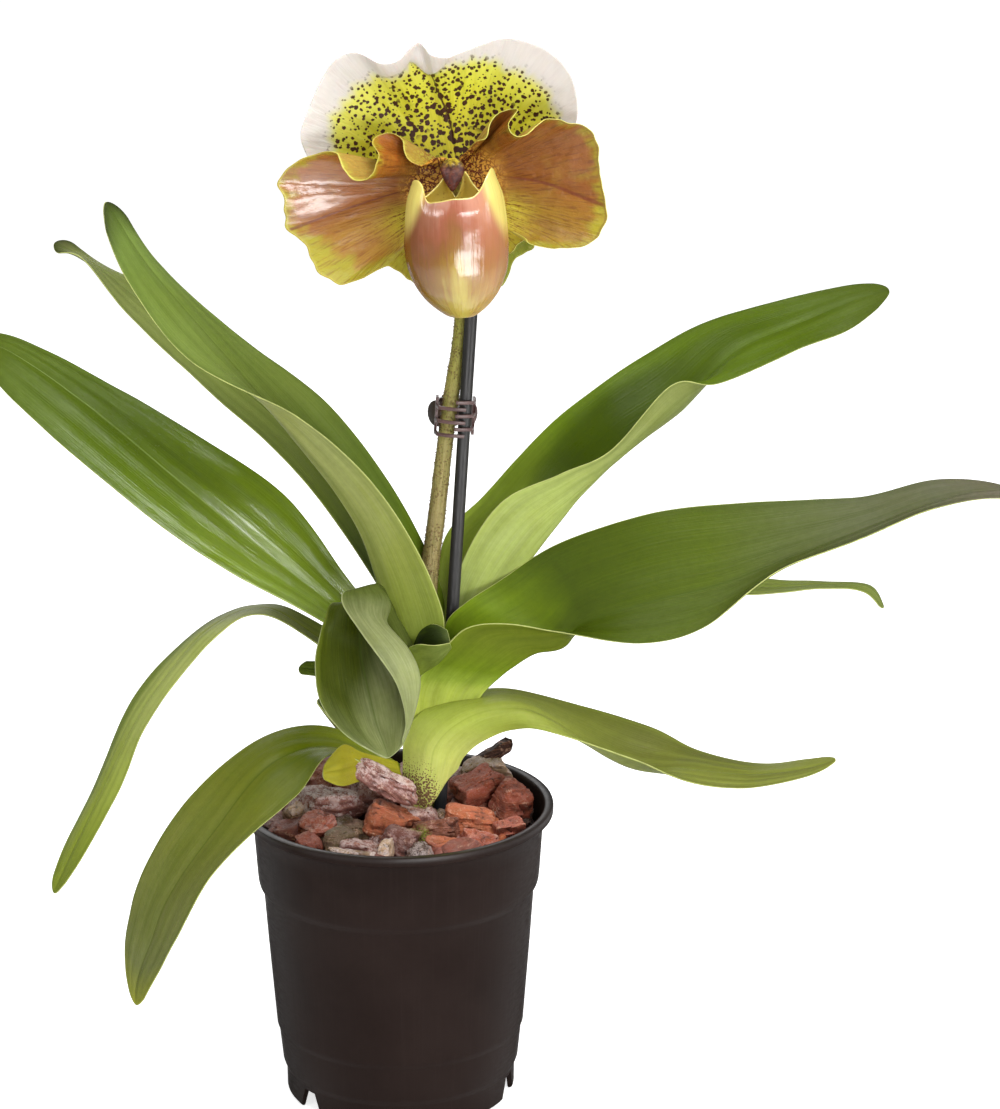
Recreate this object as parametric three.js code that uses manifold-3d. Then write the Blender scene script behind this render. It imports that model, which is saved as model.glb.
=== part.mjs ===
// A slipper orchid (Paphiopedilum hybrid) in its plastic nursery pot.
// Millimetres, +Z up. The origin is the centre of the pot's underside.
// +X is the plant's right, -Y is the side that the flower faces.

import * as THREE from 'three';
import { mergeVertices } from 'three/addons/utils/BufferGeometryUtils.js';
import Module from 'manifold-3d';

const wasm = await Module();
wasm.setup();

// ---- Driving dimensions ----

const gap = 0.3;                  // clearance between neighbouring pieces
const cutGap = 0.45;              // clearance that a cutter adds round a piece
const seed = 20260;               // for every random draw

const pot = {
  height: 118, wall: 1.3, floor: 1.6, sides: 36,
  rimRadius: 60, rimHeight: 3.8,
  // outer wall, [radius, height]: the foot, two small steps, the long body, the collar
  outer: [[44.8, 1], [44.9, 10], [46, 12.5], [47.6, 26.5], [48.4, 30], [51.2, 65], [52.2, 81],
    [54.3, 84], [55.7, 106]],
};
const slot = { azimuths: [-50, 72, 190], top: 6, bottom: 14, height: 9, from: 27, to: 52 };

// small chips fill three rings between the large ones
const bark = {
  level: 112, mound: 5, wallGap: 0.5, rings: [18, 34, 46], ringChips: [4, 8, 14], clearOfLarge: 12,
};
const crownTop = 184;
const stake = { radius: 2.25, sides: 12, from: [14.2, -1.2, 84], to: [30, 4.2, 330] };
const scape = {
  radius: 2.9, sides: 12, steps: 14,
  path: [[11.4, 4, 185.5], [13.3, 5, 209], [15.9, 6, 229], [19.5, 7, 270], [23.4, 9, 303],
    [25.4, 9.5, 336]],
};

// rowsPerStation and the column counts set how finely a leaf is faceted
const leaf = { middle: 1.5, edge: 0.8, thinning: 0.6, rowsPerStation: 2.6, columns: 4, wideColumns: 8 };
// a petal starts at this share of its reach, and its waves grow with this power of it
const petalForm = { thickness: 0.8, start: 0.06, waveGrowth: 2.2, columnsPerPoint: 1.3 };

// Each leaf is a blade through three rails: near edge, midrib and far edge, from its base to its
// tip. The one that points at the viewer has five, because its right half rolls inwards.
const leaves = {
  leaf_front_cupped: [
    [[0, -7, 186], [2, -9, 181], [5, -11, 178], [6, -11, 183], [6, -8, 187]],
    [[-23, -20, 204], [-19, -26, 205], [-12, -28, 206], [-8, -24, 214], [-19, -31, 212]],
    [[-27, -38, 197], [-23, -37, 193], [-12, -36, 189], [0, -36, 209], [-15, -44, 209]],
    [[-28, -50, 189], [-22, -48, 182], [-9, -46, 178], [7, -45, 192], [-6, -54, 196]],
    [[-26, -59, 179], [-18, -57, 174], [-6, -54, 169], [10, -53, 183], [2, -59, 185]],
    [[-18, -64, 169], [-12, -62, 166], [-3, -60, 163], [7, -59, 171], [5, -61, 172]],
    [[-7, -66, 162], [-4, -65, 160], [-1, -64, 159], [3, -63, 162], [3, -64, 163]],
  ],
  leaf_young: [
    [[5, -12, 185], [8, -11, 173], [6, -4, 184]],
    [[9, -17, 188], [11, -13, 176], [9, -5, 189]],
    [[15, -18, 188], [16, -14, 181], [14, -7, 191]],
    [[21, -17, 188], [21, -14, 186], [20, -9, 190]],
  ],
  leaf_right_low: [
    [[20, -6, 121], [12, -10, 119], [2, -5, 120]],
    [[24, -8, 136], [13, -13, 135], [2, -5, 136]],
    [[28, -9, 142], [15, -15, 146], [3, -6, 146]],
    [[34, -11, 147], [23, -16, 155], [9, -6, 156]],
    [[44, -14, 152], [36, -15, 160], [25, -4, 163]],
    [[58, -19, 153], [54, -12, 158], [47, 0, 163]],
    [[90, -22, 143], [87, -10, 137], [93, 6, 148]],
    [[111, -20, 133], [112, -10, 135], [117, 4, 137]],
    [[133, -18, 130], [135, -11, 133], [139, -2, 134]],
    [[155, -17, 134], [156, -13, 136], [156, -8, 138]],
    [[167, -15, 139], [167, -14, 140], [167, -12, 141]],
  ],
  leaf_right_wide: [
    [[6, -4, 151], [28, -5, 156], [16, -3, 155]],
    [[7, -8, 166], [33, -9, 166], [16, -3, 168]],
    [[11, -13, 176], [38, -11, 172], [17, -3, 181]],
    [[18, -16, 185], [44, -12, 177], [19, -4, 192]],
    [[27, -18, 194], [53, -13, 183], [26, -3, 199]],
    [[41, -20, 196], [63, -12, 185], [39, 3, 206]],
    [[62, -22, 193], [71, -10, 193], [62, 10, 219]],
    [[92, -22, 189], [95, -9, 201], [98, 10, 231]],
    [[116, -18, 194], [123, -5, 207], [129, 12, 234]],
    [[141, -10, 212], [151, 0, 217], [157, 14, 235]],
    [[175, 0, 223], [176, 6, 225], [179, 15, 236]],
    [[204, 8, 233], [206, 12, 235], [205, 17, 242]],
    [[230, 15, 235], [230, 18, 237], [230, 21, 239]],
    [[246, 21, 227], [246, 23, 228], [247, 25, 229]],
  ],
  leaf_upper_left: [
    [[13, -8, 175], [5, -3, 170], [13, 6, 175]],
    [[18, -12, 198], [-2, -8, 193], [18, 8, 198]],
    [[-2, -16, 242], [-16, -3, 229], [1, 12, 236]],
    [[-33, -16, 273], [-41, -2, 265], [-26, 13, 273]],
    [[-74, -14, 295], [-67, 0, 299], [-61, 12, 301]],
    [[-97, -8, 324], [-91, 5, 327], [-88, 12, 327]],
    [[-104, 5, 347], [-105, 8, 350], [-104, 11, 349]],
  ],
  leaf_far_left: [
    [[-2, -1, 171], [1, 4, 174], [2, 9, 178]],
    [[-28, -8, 195], [-24, 3, 197], [-18, 12, 204]],
    [[-63, -10, 216], [-55, 6, 222], [-42, 20, 235]],
    [[-93, -4, 235], [-84, 14, 244], [-74, 28, 255]],
    [[-127, 8, 259], [-117, 24, 269], [-111, 34, 276]],
    [[-151, 22, 278], [-145, 32, 287], [-144, 38, 292]],
    [[-161, 37, 291], [-162, 40, 292], [-162, 43, 294]],
  ],
  leaf_left_low: [
    [[0, -12, 129], [1, -6, 131], [1, 0, 133]],
    [[-23, -24, 146], [-25, -14, 145], [-26, -2, 149]],
    [[-36, -38, 135], [-47, -28, 143], [-51, -14, 149]],
    [[-55, -52, 122], [-67, -42, 122], [-77, -28, 131]],
    [[-69, -62, 109], [-83, -52, 101], [-94, -40, 107]],
    [[-80, -68, 89], [-90, -60, 85], [-100, -50, 88]],
    [[-89, -72, 73], [-95, -66, 72], [-100, -60, 75]],
    [[-93, -71, 65], [-95, -70, 64], [-97, -69, 65]],
  ],
  leaf_basal_yellow: [
    [[0, -13, 131], [0, -12, 134], [0, -8, 136]],
    [[-11, -24, 134], [-14, -22, 140], [-13, -16, 144]],
    [[-20, -32, 136], [-21, -30, 142], [-20, -22, 149]],
    [[-27, -35, 140], [-27, -34, 142], [-27, -32, 144]],
  ],
  leaf_upper_right: [
    [[19, 6, 175], [19, 10, 170], [16, 16, 178]],
    [[23, 4, 208], [38, 8, 197], [17, 22, 215]],
    [[39, 4, 236], [55, 9, 219], [34, 28, 234]],
    [[62, 6, 247], [69, 12, 237], [57, 34, 258]],
    [[81, 10, 255], [87, 17, 254], [77, 40, 273]],
    [[104, 16, 279], [108, 24, 268], [95, 46, 284]],
    [[122, 22, 278], [129, 36, 287], [118, 50, 296]],
    [[154, 34, 289], [154, 46, 296], [150, 56, 304]],
    [[174, 42, 295], [176, 52, 304], [175, 58, 309]],
    [[191, 56, 305], [190, 58, 307], [189, 60, 309]],
  ],
  leaf_left_droop: [
    [[2, -4, 160], [3, 2, 162], [2, 8, 164]],
    [[-25, -4, 180], [-29, 4, 182], [-33, 12, 188]],
    [[-51, -2, 194], [-51, 6, 194], [-52, 14, 193]],
    [[-69, -8, 186], [-73, 0, 186], [-75, 8, 186]],
    [[-93, -16, 157], [-96, -8, 159], [-101, 0, 160]],
    [[-105, -20, 130], [-111, -14, 130], [-117, -8, 125]],
    [[-119, -24, 105], [-123, -18, 106], [-128, -12, 104]],
    [[-129, -25, 90], [-131, -23, 89], [-133, -21, 91]],
  ],
  leaf_left_behind: [
    [[6, 8, 175], [9, 13, 176], [12, 17, 178]],
    [[-8, 12, 202], [-5, 22, 205], [1, 30, 206]],
    [[-37, 16, 244], [-30, 28, 246], [-22, 38, 248]],
    [[-76, 24, 279], [-70, 36, 282], [-61, 46, 286]],
    [[-104, 32, 305], [-100, 42, 307], [-95, 50, 309]],
    [[-120, 40, 323], [-117, 45, 320], [-114, 50, 319]],
    [[-129, 45, 326], [-130, 47, 327], [-129, 49, 328]],
  ],
  leaf_right_behind: [
    [[16, 14, 167], [18, 18, 169], [21, 22, 171]],
    [[63, 42, 185], [64, 47, 188], [65, 53, 191]],
    [[107, 54, 187], [108, 60, 189], [109, 66, 192]],
    [[140, 60, 183], [144, 66, 184], [149, 72, 186]],
    [[168, 65, 184], [169, 70, 184], [169, 75, 184]],
    [[185, 67, 182], [187, 70, 183], [188, 73, 183]],
    [[193, 69, 174], [194, 71, 174], [194, 73, 175]],
  ],
  leaf_small_left: [
    [[1, 2, 156], [1, 6, 158], [1, 10, 160]],
    [[-20, 4, 165], [-21, 7, 167], [-21, 10, 170]],
    [[-38, 5, 168], [-38, 7, 170], [-36, 9, 172]],
  ],
  leaf_small_low: [
    [[-4, -2, 131], [-5, 2, 132], [-4, 6, 133]],
    [[-18, 2, 141], [-20, 4, 143], [-21, 7, 145]],
    [[-31, 3, 157], [-31, 5, 157], [-31, 7, 158]],
  ],
};

// The flower: each petal spreads from a short line at the flower's centre to its waved margin.
const petals = {
  sepal_dorsal: {
    base: [[17, -15, 363], [28, -15, 363]], bulge: 5, steps: 5,
    margin: [[-22, -18, 361], [-28, -19, 368], [-32, -20, 378], [-29, -21, 388], [-24, -23, 399],
      [-19, -25, 406], [-12, -27, 409], [-3, -30, 406], [3, -32, 407], [8, -33, 412],
      [11, -33, 414], [14, -36, 411], [16, -42, 405], [19, -42, 406], [22, -36, 409],
      [27, -31, 410], [33, -28, 412], [40, -26, 414], [47, -25, 413], [55, -24, 410],
      [62, -23, 404], [66, -21, 396], [67, -20, 386], [64, -19, 377], [58, -18, 370]],
  },
  petal_left: {
    base: [[20.6, -17.5, 369], [20.6, -17, 353]], bulge: -2, steps: 5,
    margin: [[20, -20, 371], [15, -24, 371], [11, -34, 370], [6, -33, 373], [4, -28, 379],
      [-2, -27, 381], [-6, -32, 378], [-4, -40, 374], [-7, -46, 368], [-12, -47, 367],
      [-16, -44, 370], [-19, -36, 375], [-27, -32, 374], [-35, -30, 370], [-40, -28, 364],
      [-38, -29, 357], [-38, -28, 350], [-36, -28, 345], [-31, -30, 341], [-28, -32, 335],
      [-24, -33, 330], [-18, -34, 327], [-11, -34, 329], [-7, -33, 331], [-1, -31, 333],
      [3, -28, 331], [8, -24, 327], [12, -20, 337]],
  },
  petal_right: {
    base: [[24.6, -17.5, 369], [24.6, -17, 353]], bulge: -2, steps: 5,
    margin: [[25, -20, 371], [28, -23, 374], [31, -28, 378], [35, -33, 380], [36, -29, 384],
      [39, -27, 388], [45, -30, 390], [44, -38, 388], [42, -44, 385], [45, -47, 382], [48, -44, 383],
      [52, -38, 386], [56, -34, 388], [64, -31, 385], [69, -30, 384], [73, -29, 380],
      [75, -28, 373], [76, -27, 365], [77, -27, 357], [78, -28, 350], [75, -29, 344],
      [71, -31, 341], [65, -32, 340], [58, -32, 340], [51, -31, 341], [49, -30, 343],
      [46, -27, 340], [42, -24, 336], [37, -20, 341]],
  },
  synsepal: {
    base: [[17, -14, 361.5], [28, -14, 361.5]], bulge: 3, steps: 4,
    margin: [[10, -14, 345], [2, -13, 340], [-3, -12, 333], [0, -12, 329], [7, -13, 325],
      [14, -14, 320], [23, -15, 316], [33, -14, 319], [41, -13, 323], [44, -12, 330],
      [49, -11, 334], [52, -11, 337], [47, -13, 343], [37, -14, 346]],
  },
};

// The pouch, ring by ring from its toe up: [height, centre x, centre y, half width, half depth].
const pouch = {
  wall: 1.2, sides: 30, toe: [25.5, -46, 317.8],
  rings: [[319.5, 25.4, -46, 6, 5.5], [323.5, 25.1, -46, 11, 9.5], [329, 24.7, -46, 15, 13],
    [336, 24.3, -45.6, 17.6, 15], [343, 24, -45, 18.5, 15.6], [350, 24, -44.6, 18.5, 15],
    [356, 23.8, -44.2, 18.2, 14.4], [361, 23.6, -44, 17.6, 14]],
  // how far the rim stands above its ring, every 12 degrees from the front round to the back;
  // the side lobes stand up as ears, lean inwards and fold over into two peaks at the back
  rimLeft: [0, -0.4, -1, -1.8, -2, -1, 2, 5.5, 6.5, 4, 0, -2, -1, 0.5, 3, -3],
  rimRight: [0, 0, 0.5, 2.5, 5, 7.5, 10, 11, 9, 4, 0, -2, -1, 0.5, 3, -3],
  lean: 0.3,
};

const clip = {
  at: [22.4, 5, 270], lean: 4, turn: 3, pinY: 8.5, pinRadius: 0.9, holeRadius: 1, knuckle: 2.2,
  band: 1, finger: 1.2, barHeight: 13.6, padRadius: 5, padAt: [5.9, 5.4, -3], padTurn: 0.9,
  side: [[0, 8.5], [3.2, 9.2], [6, 7], [6.9, 3], [7, -1.5], [6.2, -5], [1.5, -6.4]],
  leftTip: -3.7, rightTip: -0.2,
  leftFingers: [3.8, -1.3, -6.4], rightFingers: [6.4, 1.2, -3.9],
};

// ---- Colours ----

const colours = {
  leaf: 0x4f7f22, leafPale: 0x93b23f, yellowLeaf: 0xb4b52e, crown: 0xa8bf4e, scape: 0x9a9048,
  stake: 0x46454a, pot: 0x2a2423, bark: 0x8a4a33, clip: 0x5c4040, steel: 0xb0b0b0,
  dorsal: 0xc3cc4a, petal: 0xa8743a, synsepal: 0x9dab3a, pouch: 0xb57a58, staminode: 0x6b3a2c,
  ovary: 0x7c8040,
};

// ---- Small helpers ----

let state = seed;
function random() {
  state = (state * 1664525 + 1013904223) % 4294967296;
  return state / 4294967296;
}

const vector = (p) => new THREE.Vector3(p[0], p[1], p[2]);

// A point at t (0 to 1) on the smooth curve through a list of points.
function along(points, t) {
  const last = points.length - 1;
  const at = Math.min(Math.max(t, 0), 1) * last;
  const i = Math.min(Math.floor(at), last - 1);
  const f = at - i;
  const pick = (k) => points[Math.min(Math.max(k, 0), last)];
  const [a, b, c, d] = [pick(i - 1), pick(i), pick(i + 1), pick(i + 2)];
  return b.map((value, k) => 0.5 * (2 * value + (c[k] - a[k]) * f
    + (2 * a[k] - 5 * value + 4 * c[k] - d[k]) * f * f
    + (3 * value - a[k] - 3 * c[k] + d[k]) * f * f * f));
}

function indexed(points, faces) {
  const geometry = new THREE.BufferGeometry();
  geometry.setAttribute('position', new THREE.Float32BufferAttribute(points.flat(), 3));
  geometry.setIndex(faces.flat());
  return outward(geometry);
}

// Turns a closed mesh right side out.
function outward(geometry) {
  const p = geometry.getAttribute('position');
  const index = geometry.getIndex().array;
  const [a, b, c] = [new THREE.Vector3(), new THREE.Vector3(), new THREE.Vector3()];
  let volume = 0;
  for (let i = 0; i < index.length; i += 3) {
    a.fromBufferAttribute(p, index[i]);
    b.fromBufferAttribute(p, index[i + 1]);
    c.fromBufferAttribute(p, index[i + 2]);
    volume += a.dot(b.cross(c));
  }
  if (volume < 0) {
    for (let i = 0; i < index.length; i += 3) {
      [index[i + 1], index[i + 2]] = [index[i + 2], index[i + 1]];
    }
  }
  return geometry;
}

// ---- Solids: joining and cutting ----

function solid(geometry) {
  let g = geometry.clone();
  g.deleteAttribute('normal');
  g.deleteAttribute('uv');
  g = mergeVertices(g, 1e-4);
  return new wasm.Manifold(new wasm.Mesh({
    numProp: 3,
    vertProperties: new Float32Array(g.getAttribute('position').array),
    triVerts: new Uint32Array(g.getIndex().array),
  }));
}

// The geometry of a solid's largest connected body; loose scraps left by a cut are dropped.
function body(manifold) {
  const mesh = manifold.getMesh();
  const tris = mesh.triVerts;
  const parent = Array.from({ length: mesh.vertProperties.length / 3 }, (_, i) => i);
  const root = (i) => {
    while (parent[i] !== i) {
      parent[i] = parent[parent[i]];
      i = parent[i];
    }
    return i;
  };
  for (let i = 0; i < tris.length; i += 3) {
    parent[root(tris[i + 1])] = root(tris[i]);
    parent[root(tris[i + 2])] = root(tris[i]);
  }
  const counts = new Map();
  for (let i = 0; i < tris.length; i += 3) {
    const r = root(tris[i]);
    counts.set(r, (counts.get(r) ?? 0) + 1);
  }
  const main = [...counts].sort((x, y) => y[1] - x[1])[0][0];
  const kept = [];
  for (let i = 0; i < tris.length; i += 3) {
    if (root(tris[i]) === main) kept.push(tris[i], tris[i + 1], tris[i + 2]);
  }
  const geometry = new THREE.BufferGeometry();
  geometry.setAttribute('position', new THREE.Float32BufferAttribute(mesh.vertProperties, 3));
  geometry.setIndex(kept);
  return mergeVertices(geometry, 1e-5);
}

const joined = (solids) => solids.reduce((all, next) => all.add(next));
const cut = (start, cutters) => cutters.reduce((left, next) => left.subtract(next), start);

// ---- Thin sheets: leaves and petals ----

// A thin closed sheet on surface(u, v), with thickness(u, v). Both faces are split alike.
function sheet(surface, thickness, rows, columns) {
  const grid = [];
  for (let i = 0; i <= rows; i++) {
    grid.push([]);
    for (let j = 0; j <= columns; j++) grid[i].push(vector(surface(i / rows, j / columns)));
  }
  const top = [];
  const bottom = [];
  for (let i = 0; i <= rows; i++) {
    for (let j = 0; j <= columns; j++) {
      const du = grid[Math.min(i + 1, rows)][j].clone().sub(grid[Math.max(i - 1, 0)][j]);
      const dv = grid[i][Math.min(j + 1, columns)].clone().sub(grid[i][Math.max(j - 1, 0)]);
      const half = du.cross(dv).normalize().multiplyScalar(thickness(i / rows, j / columns) / 2);
      top.push(grid[i][j].clone().add(half).toArray());
      bottom.push(grid[i][j].clone().sub(half).toArray());
    }
  }
  const wide = columns + 1;
  const under = top.length;
  const faces = [];
  for (let i = 0; i < rows; i++) {
    for (let j = 0; j < columns; j++) {
      const [a, b] = [i * wide + j, i * wide + j + 1];
      const [c, d] = [a + wide, b + wide];
      faces.push([a, c, b], [b, c, d]);
      faces.push([under + a, under + b, under + c], [under + b, under + d, under + c]);
    }
  }
  const edge = (a, b) => faces.push([a, b, under + a], [b, under + b, under + a]);
  for (let j = 0; j < columns; j++) {
    edge(j, j + 1);
    edge(rows * wide + j + 1, rows * wide + j);
  }
  for (let i = 0; i < rows; i++) {
    edge((i + 1) * wide, i * wide);
    edge(i * wide + columns, (i + 1) * wide + columns);
  }
  return indexed([...top, ...bottom], faces);
}

// A leaf blade through its rails. swell thickens and widens it, to make a cutter.
function blade(stations, swell = 0) {
  const rails = stations[0].map((_, k) => stations.map((station) => station[k]));
  const columns = rails.length === 3 ? leaf.columns : leaf.wideColumns;
  const rows = Math.round((stations.length - 1) * leaf.rowsPerStation);
  const surface = (u, v) => {
    const section = rails.map((rail) => along(rail, u));
    const rib = section[(section.length - 1) / 2];
    const spread = 1 + (2 * swell) / Math.max(2, distance(section[0], rib));
    return along(section, v).map((value, k) => rib[k] + (value - rib[k]) * spread);
  };
  const thickness = (u, v) => {
    const inner = (1 - Math.abs(2 * v - 1)) * (1 - leaf.thinning * u);
    return leaf.edge + (leaf.middle - leaf.edge) * inner + 2 * swell;
  };
  return sheet(surface, thickness, rows, columns);
}

const distance = (a, b) => Math.hypot(...a.map((value, k) => value - b[k]));

// A petal from its base line to its margin. The waves of the margin fade towards the base.
function petal({ base, margin, bulge, steps }, swell = 0) {
  const surface = (u, v) => {
    const start = along(base, v);
    const end = along(margin, v);
    const reach = petalForm.start + (1 - petalForm.start) * u + (swell / 25) * u;
    const wave = reach ** petalForm.waveGrowth;
    const x = start[0] + (end[0] - start[0]) * reach;
    const y = start[1] + (end[1] - start[1]) * wave + bulge * Math.sin(Math.PI * reach);
    const z = start[2] + (end[2] - start[2]) * reach;
    return [x, y, z];
  };
  const columns = Math.round(margin.length * petalForm.columnsPerPoint);
  return sheet(surface, () => petalForm.thickness + 2 * swell, steps, columns);
}

// ---- Round solids ----

// A closed tube along a list of points, with a radius at each.
function taperedTube(points, radii, sides, steps) {
  const rings = [];
  for (let i = 0; i <= steps; i++) {
    const t = i / steps;
    const centre = vector(along(points, t));
    const ahead = vector(along(points, Math.min(t + 0.02, 1)));
    const behind = vector(along(points, Math.max(t - 0.02, 0)));
    const forward = ahead.sub(behind).normalize();
    const side = new THREE.Vector3(0, -1, 0).cross(forward).normalize();
    const up = forward.clone().cross(side);
    const radius = along(radii.map((r) => [r]), t)[0];
    for (let k = 0; k < sides; k++) {
      const angle = (2 * Math.PI * k) / sides;
      rings.push(centre.clone().addScaledVector(side, radius * Math.cos(angle))
        .addScaledVector(up, radius * Math.sin(angle)).toArray());
    }
  }
  const faces = [];
  for (let i = 0; i < steps; i++) {
    for (let k = 0; k < sides; k++) {
      const next = (k + 1) % sides;
      const [a, b] = [i * sides + k, i * sides + next];
      faces.push([a, b, a + sides], [b, b + sides, a + sides]);
    }
  }
  for (let k = 1; k < sides - 1; k++) {
    faces.push([0, k + 1, k]);
    faces.push([steps * sides, steps * sides + k, steps * sides + k + 1]);
  }
  return indexed(rings, faces);
}

function circle(radius, sides) {
  const shape = new THREE.Shape();
  for (let k = 0; k < sides; k++) {
    const angle = (2 * Math.PI * k) / sides;
    const [x, y] = [radius * Math.cos(angle), radius * Math.sin(angle)];
    if (k === 0) shape.moveTo(x, y);
    else shape.lineTo(x, y);
  }
  shape.closePath();
  return shape;
}

// A round rod of even thickness along a path.
function rod(points, radius, sides, steps) {
  const path = new THREE.CatmullRomCurve3(points.map(vector));
  return new THREE.ExtrudeGeometry(circle(radius, sides), { extrudePath: path, steps });
}

function revolve(profile, sides) {
  const points = profile.map(([r, z]) => new THREE.Vector2(r, z));
  return new THREE.LatheGeometry(points, sides).rotateX(Math.PI / 2);
}

// ---- The pot and what fills it ----

function potInner() {
  return pot.outer.map(([r, z]) => [r - pot.wall, z]);
}

function makePot() {
  const { height, rimRadius, rimHeight } = pot;
  const collar = pot.outer.at(-1)[0];
  const outer = [[0, 0], [43.8, 0], ...pot.outer, [collar + 0.6, height - rimHeight],
    [rimRadius - 0.4, height - rimHeight], [rimRadius, height - rimHeight + 0.6],
    [rimRadius, height - 0.8], [rimRadius - 0.8, height], [57.2, height], [56.4, height - 0.8]];
  const inner = potInner().slice(1).reverse();
  const profile = [...outer, ...inner, [43.5, pot.floor], [0, pot.floor]];
  const shell = solid(revolve(profile, pot.sides));
  const cutters = slot.azimuths.map((azimuth) => {
    const shape = new THREE.Shape([
      new THREE.Vector2(-slot.bottom / 2, -1), new THREE.Vector2(slot.bottom / 2, -1),
      new THREE.Vector2(slot.top / 2, slot.height), new THREE.Vector2(-slot.top / 2, slot.height)]);
    const tool = new THREE.ExtrudeGeometry(shape, { depth: slot.to - slot.from, bevelEnabled: false });
    tool.rotateX(Math.PI / 2);
    tool.translate(0, -slot.from, 0);
    tool.rotateZ(THREE.MathUtils.degToRad(azimuth));
    return solid(tool);
  });
  return body(cut(shell, cutters));
}

// The chips that show on top: [x, y, z, length, width, height, turn in degrees].
const chips = [
  [-8, 10, 122, 19, 11, 12, -38], [-25, -2, 117, 25, 13, 15, 6], [-30, 26, 117, 18, 13, 14, -25],
  [-9, 4, 114, 16, 13, 12, 20], [-3, -19, 115, 19, 15, 15, -12], [-29, -21, 113, 16, 14, 13, -20],
  [-39, -8, 114, 9, 9, 11, 30], [0, -32, 111, 11, 13, 15, 80], [14, -22, 113, 17, 14, 13, -8],
  [29, -14, 114, 19, 15, 14, -12], [31, 11, 118, 20, 14, 15, 25], [43, 4, 115, 16, 15, 17, -40],
  [33, 31, 119, 18, 12, 12, 10], [38, 33, 124, 8, 7, 16, 50], [18, -33, 110, 16, 11, 13, -10],
  [31, -28, 110, 14, 11, 12, 10], [42, -17, 111, 13, 11, 12, 25], [-14, -35, 110, 15, 11, 12, -6],
  [-17, -20, 111, 10, 12, 12, 40], [-38, 8, 114, 14, 13, 13, 10],
];

function makeBark(cutters) {
  const limit = potInner().map(([r, z]) => [r - bark.wallGap, z]);
  const core = [[0, pot.floor + gap], [24, pot.floor + gap],
    ...limit.slice(2).filter(([, z]) => z < bark.level - 2),
    [limit.at(-1)[0], bark.level - 3], [30, bark.level], [0, bark.level + bark.mound]];
  const pieces = [solid(revolve(core, 24))];
  const all = [...chips];
  bark.rings.forEach((radius, ring) => {
    const count = bark.ringChips[ring];
    for (let k = 0; k < count; k++) {
      const angle = (2 * Math.PI * (k + random() * 0.6)) / count;
      const [x, y] = [radius * Math.cos(angle), radius * Math.sin(angle)];
      const [length, width, height] = [11 + 8 * random(), 9 + 4 * random(), 9 + 3 * random()];
      const turn = 360 * random();
      const z = bark.level - 1 + (bark.mound * (bark.rings[2] - radius)) / bark.rings[2];
      const taken = chips.some((chip) => Math.hypot(chip[0] - x, chip[1] - y) < bark.clearOfLarge);
      if (!taken) all.push([x, y, z, length, width, height, turn]);
    }
  });
  all.forEach((chip) => pieces.push(solid(barkChip(chip))));
  const cavity = [[0, 0.5], ...limit, [limit.at(-1)[0] + 0.5, 160], [0, 160]];
  const filling = joined(pieces).intersect(solid(revolve(cavity, pot.sides)));
  return body(cut(filling, cutters));
}

// One irregular, blunt-cornered chip of pine bark.
function barkChip([x, y, z, length, width, height, turn]) {
  const shape = mergeVertices(new THREE.IcosahedronGeometry(1)
    .deleteAttribute('normal').deleteAttribute('uv'), 1e-4);
  const points = shape.getAttribute('position');
  const blunt = (value) => Math.sign(value) * Math.abs(value) ** 0.62 * (0.86 + 0.24 * random());
  for (let i = 0; i < points.count; i++) {
    const [px, py, pz] = [blunt(points.getX(i)), blunt(points.getY(i)), blunt(points.getZ(i))];
    points.setXYZ(i, px * length / 2, py * width / 2, pz * height / 2);
  }
  shape.rotateX((random() - 0.5) * 0.6);
  shape.rotateZ(THREE.MathUtils.degToRad(turn));
  return shape.translate(x, y, z);
}

// ---- Stem, scape, ovary and stake ----

const crownPath = [[9.5, 9, 96], [9.5, 9, 117], [9.3, 8, 129], [9, 7, 142], [9, 6, 154],
  [9.5, 5, 167], [10.5, 4, 177], [11.6, 3.6, crownTop]];
const crownRadii = [7, 7.5, 7.5, 7, 6.5, 6, 5, 3.8];

function makeCrown(swell = 0) {
  const [x, y, z] = crownPath[0];
  const path = [[x, y, z - swell], ...crownPath.slice(1)];
  return taperedTube(path, crownRadii.map((r) => r + swell), 14, 12);
}

const makeScape = (swell = 0) => rod(scape.path, scape.radius + swell, scape.sides, scape.steps);

function makeStake(swell = 0) {
  const [x, y, z] = stake.from;
  return rod([[x, y, z - swell], stake.to], stake.radius + swell, stake.sides, 1);
}

function makeOvary(swell = 0) {
  const path = [[25.5, 9.4, 336.6], [25.2, 8, 349], [24.2, 0, 360], [22.8, -12.5, 363.5]];
  return taperedTube(path, [3, 3.6, 3.4, 2.6].map((r) => r + swell), 12, 10);
}

// The leafy sheath that hugs the foot of the ovary.
const bractRails = [
  [[20.6, 8, 327], [25.2, 14, 326], [29.6, 10, 327]],
  [[19.5, 8, 338], [25.2, 15.4, 338], [31, 10, 338]],
  [[21, 9, 349], [25.6, 15.4, 350], [30, 11, 349]],
  [[24.6, 13.4, 358], [25.8, 14.8, 360], [27, 13.6, 358]],
];

// ---- Pouch and staminode ----

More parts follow.
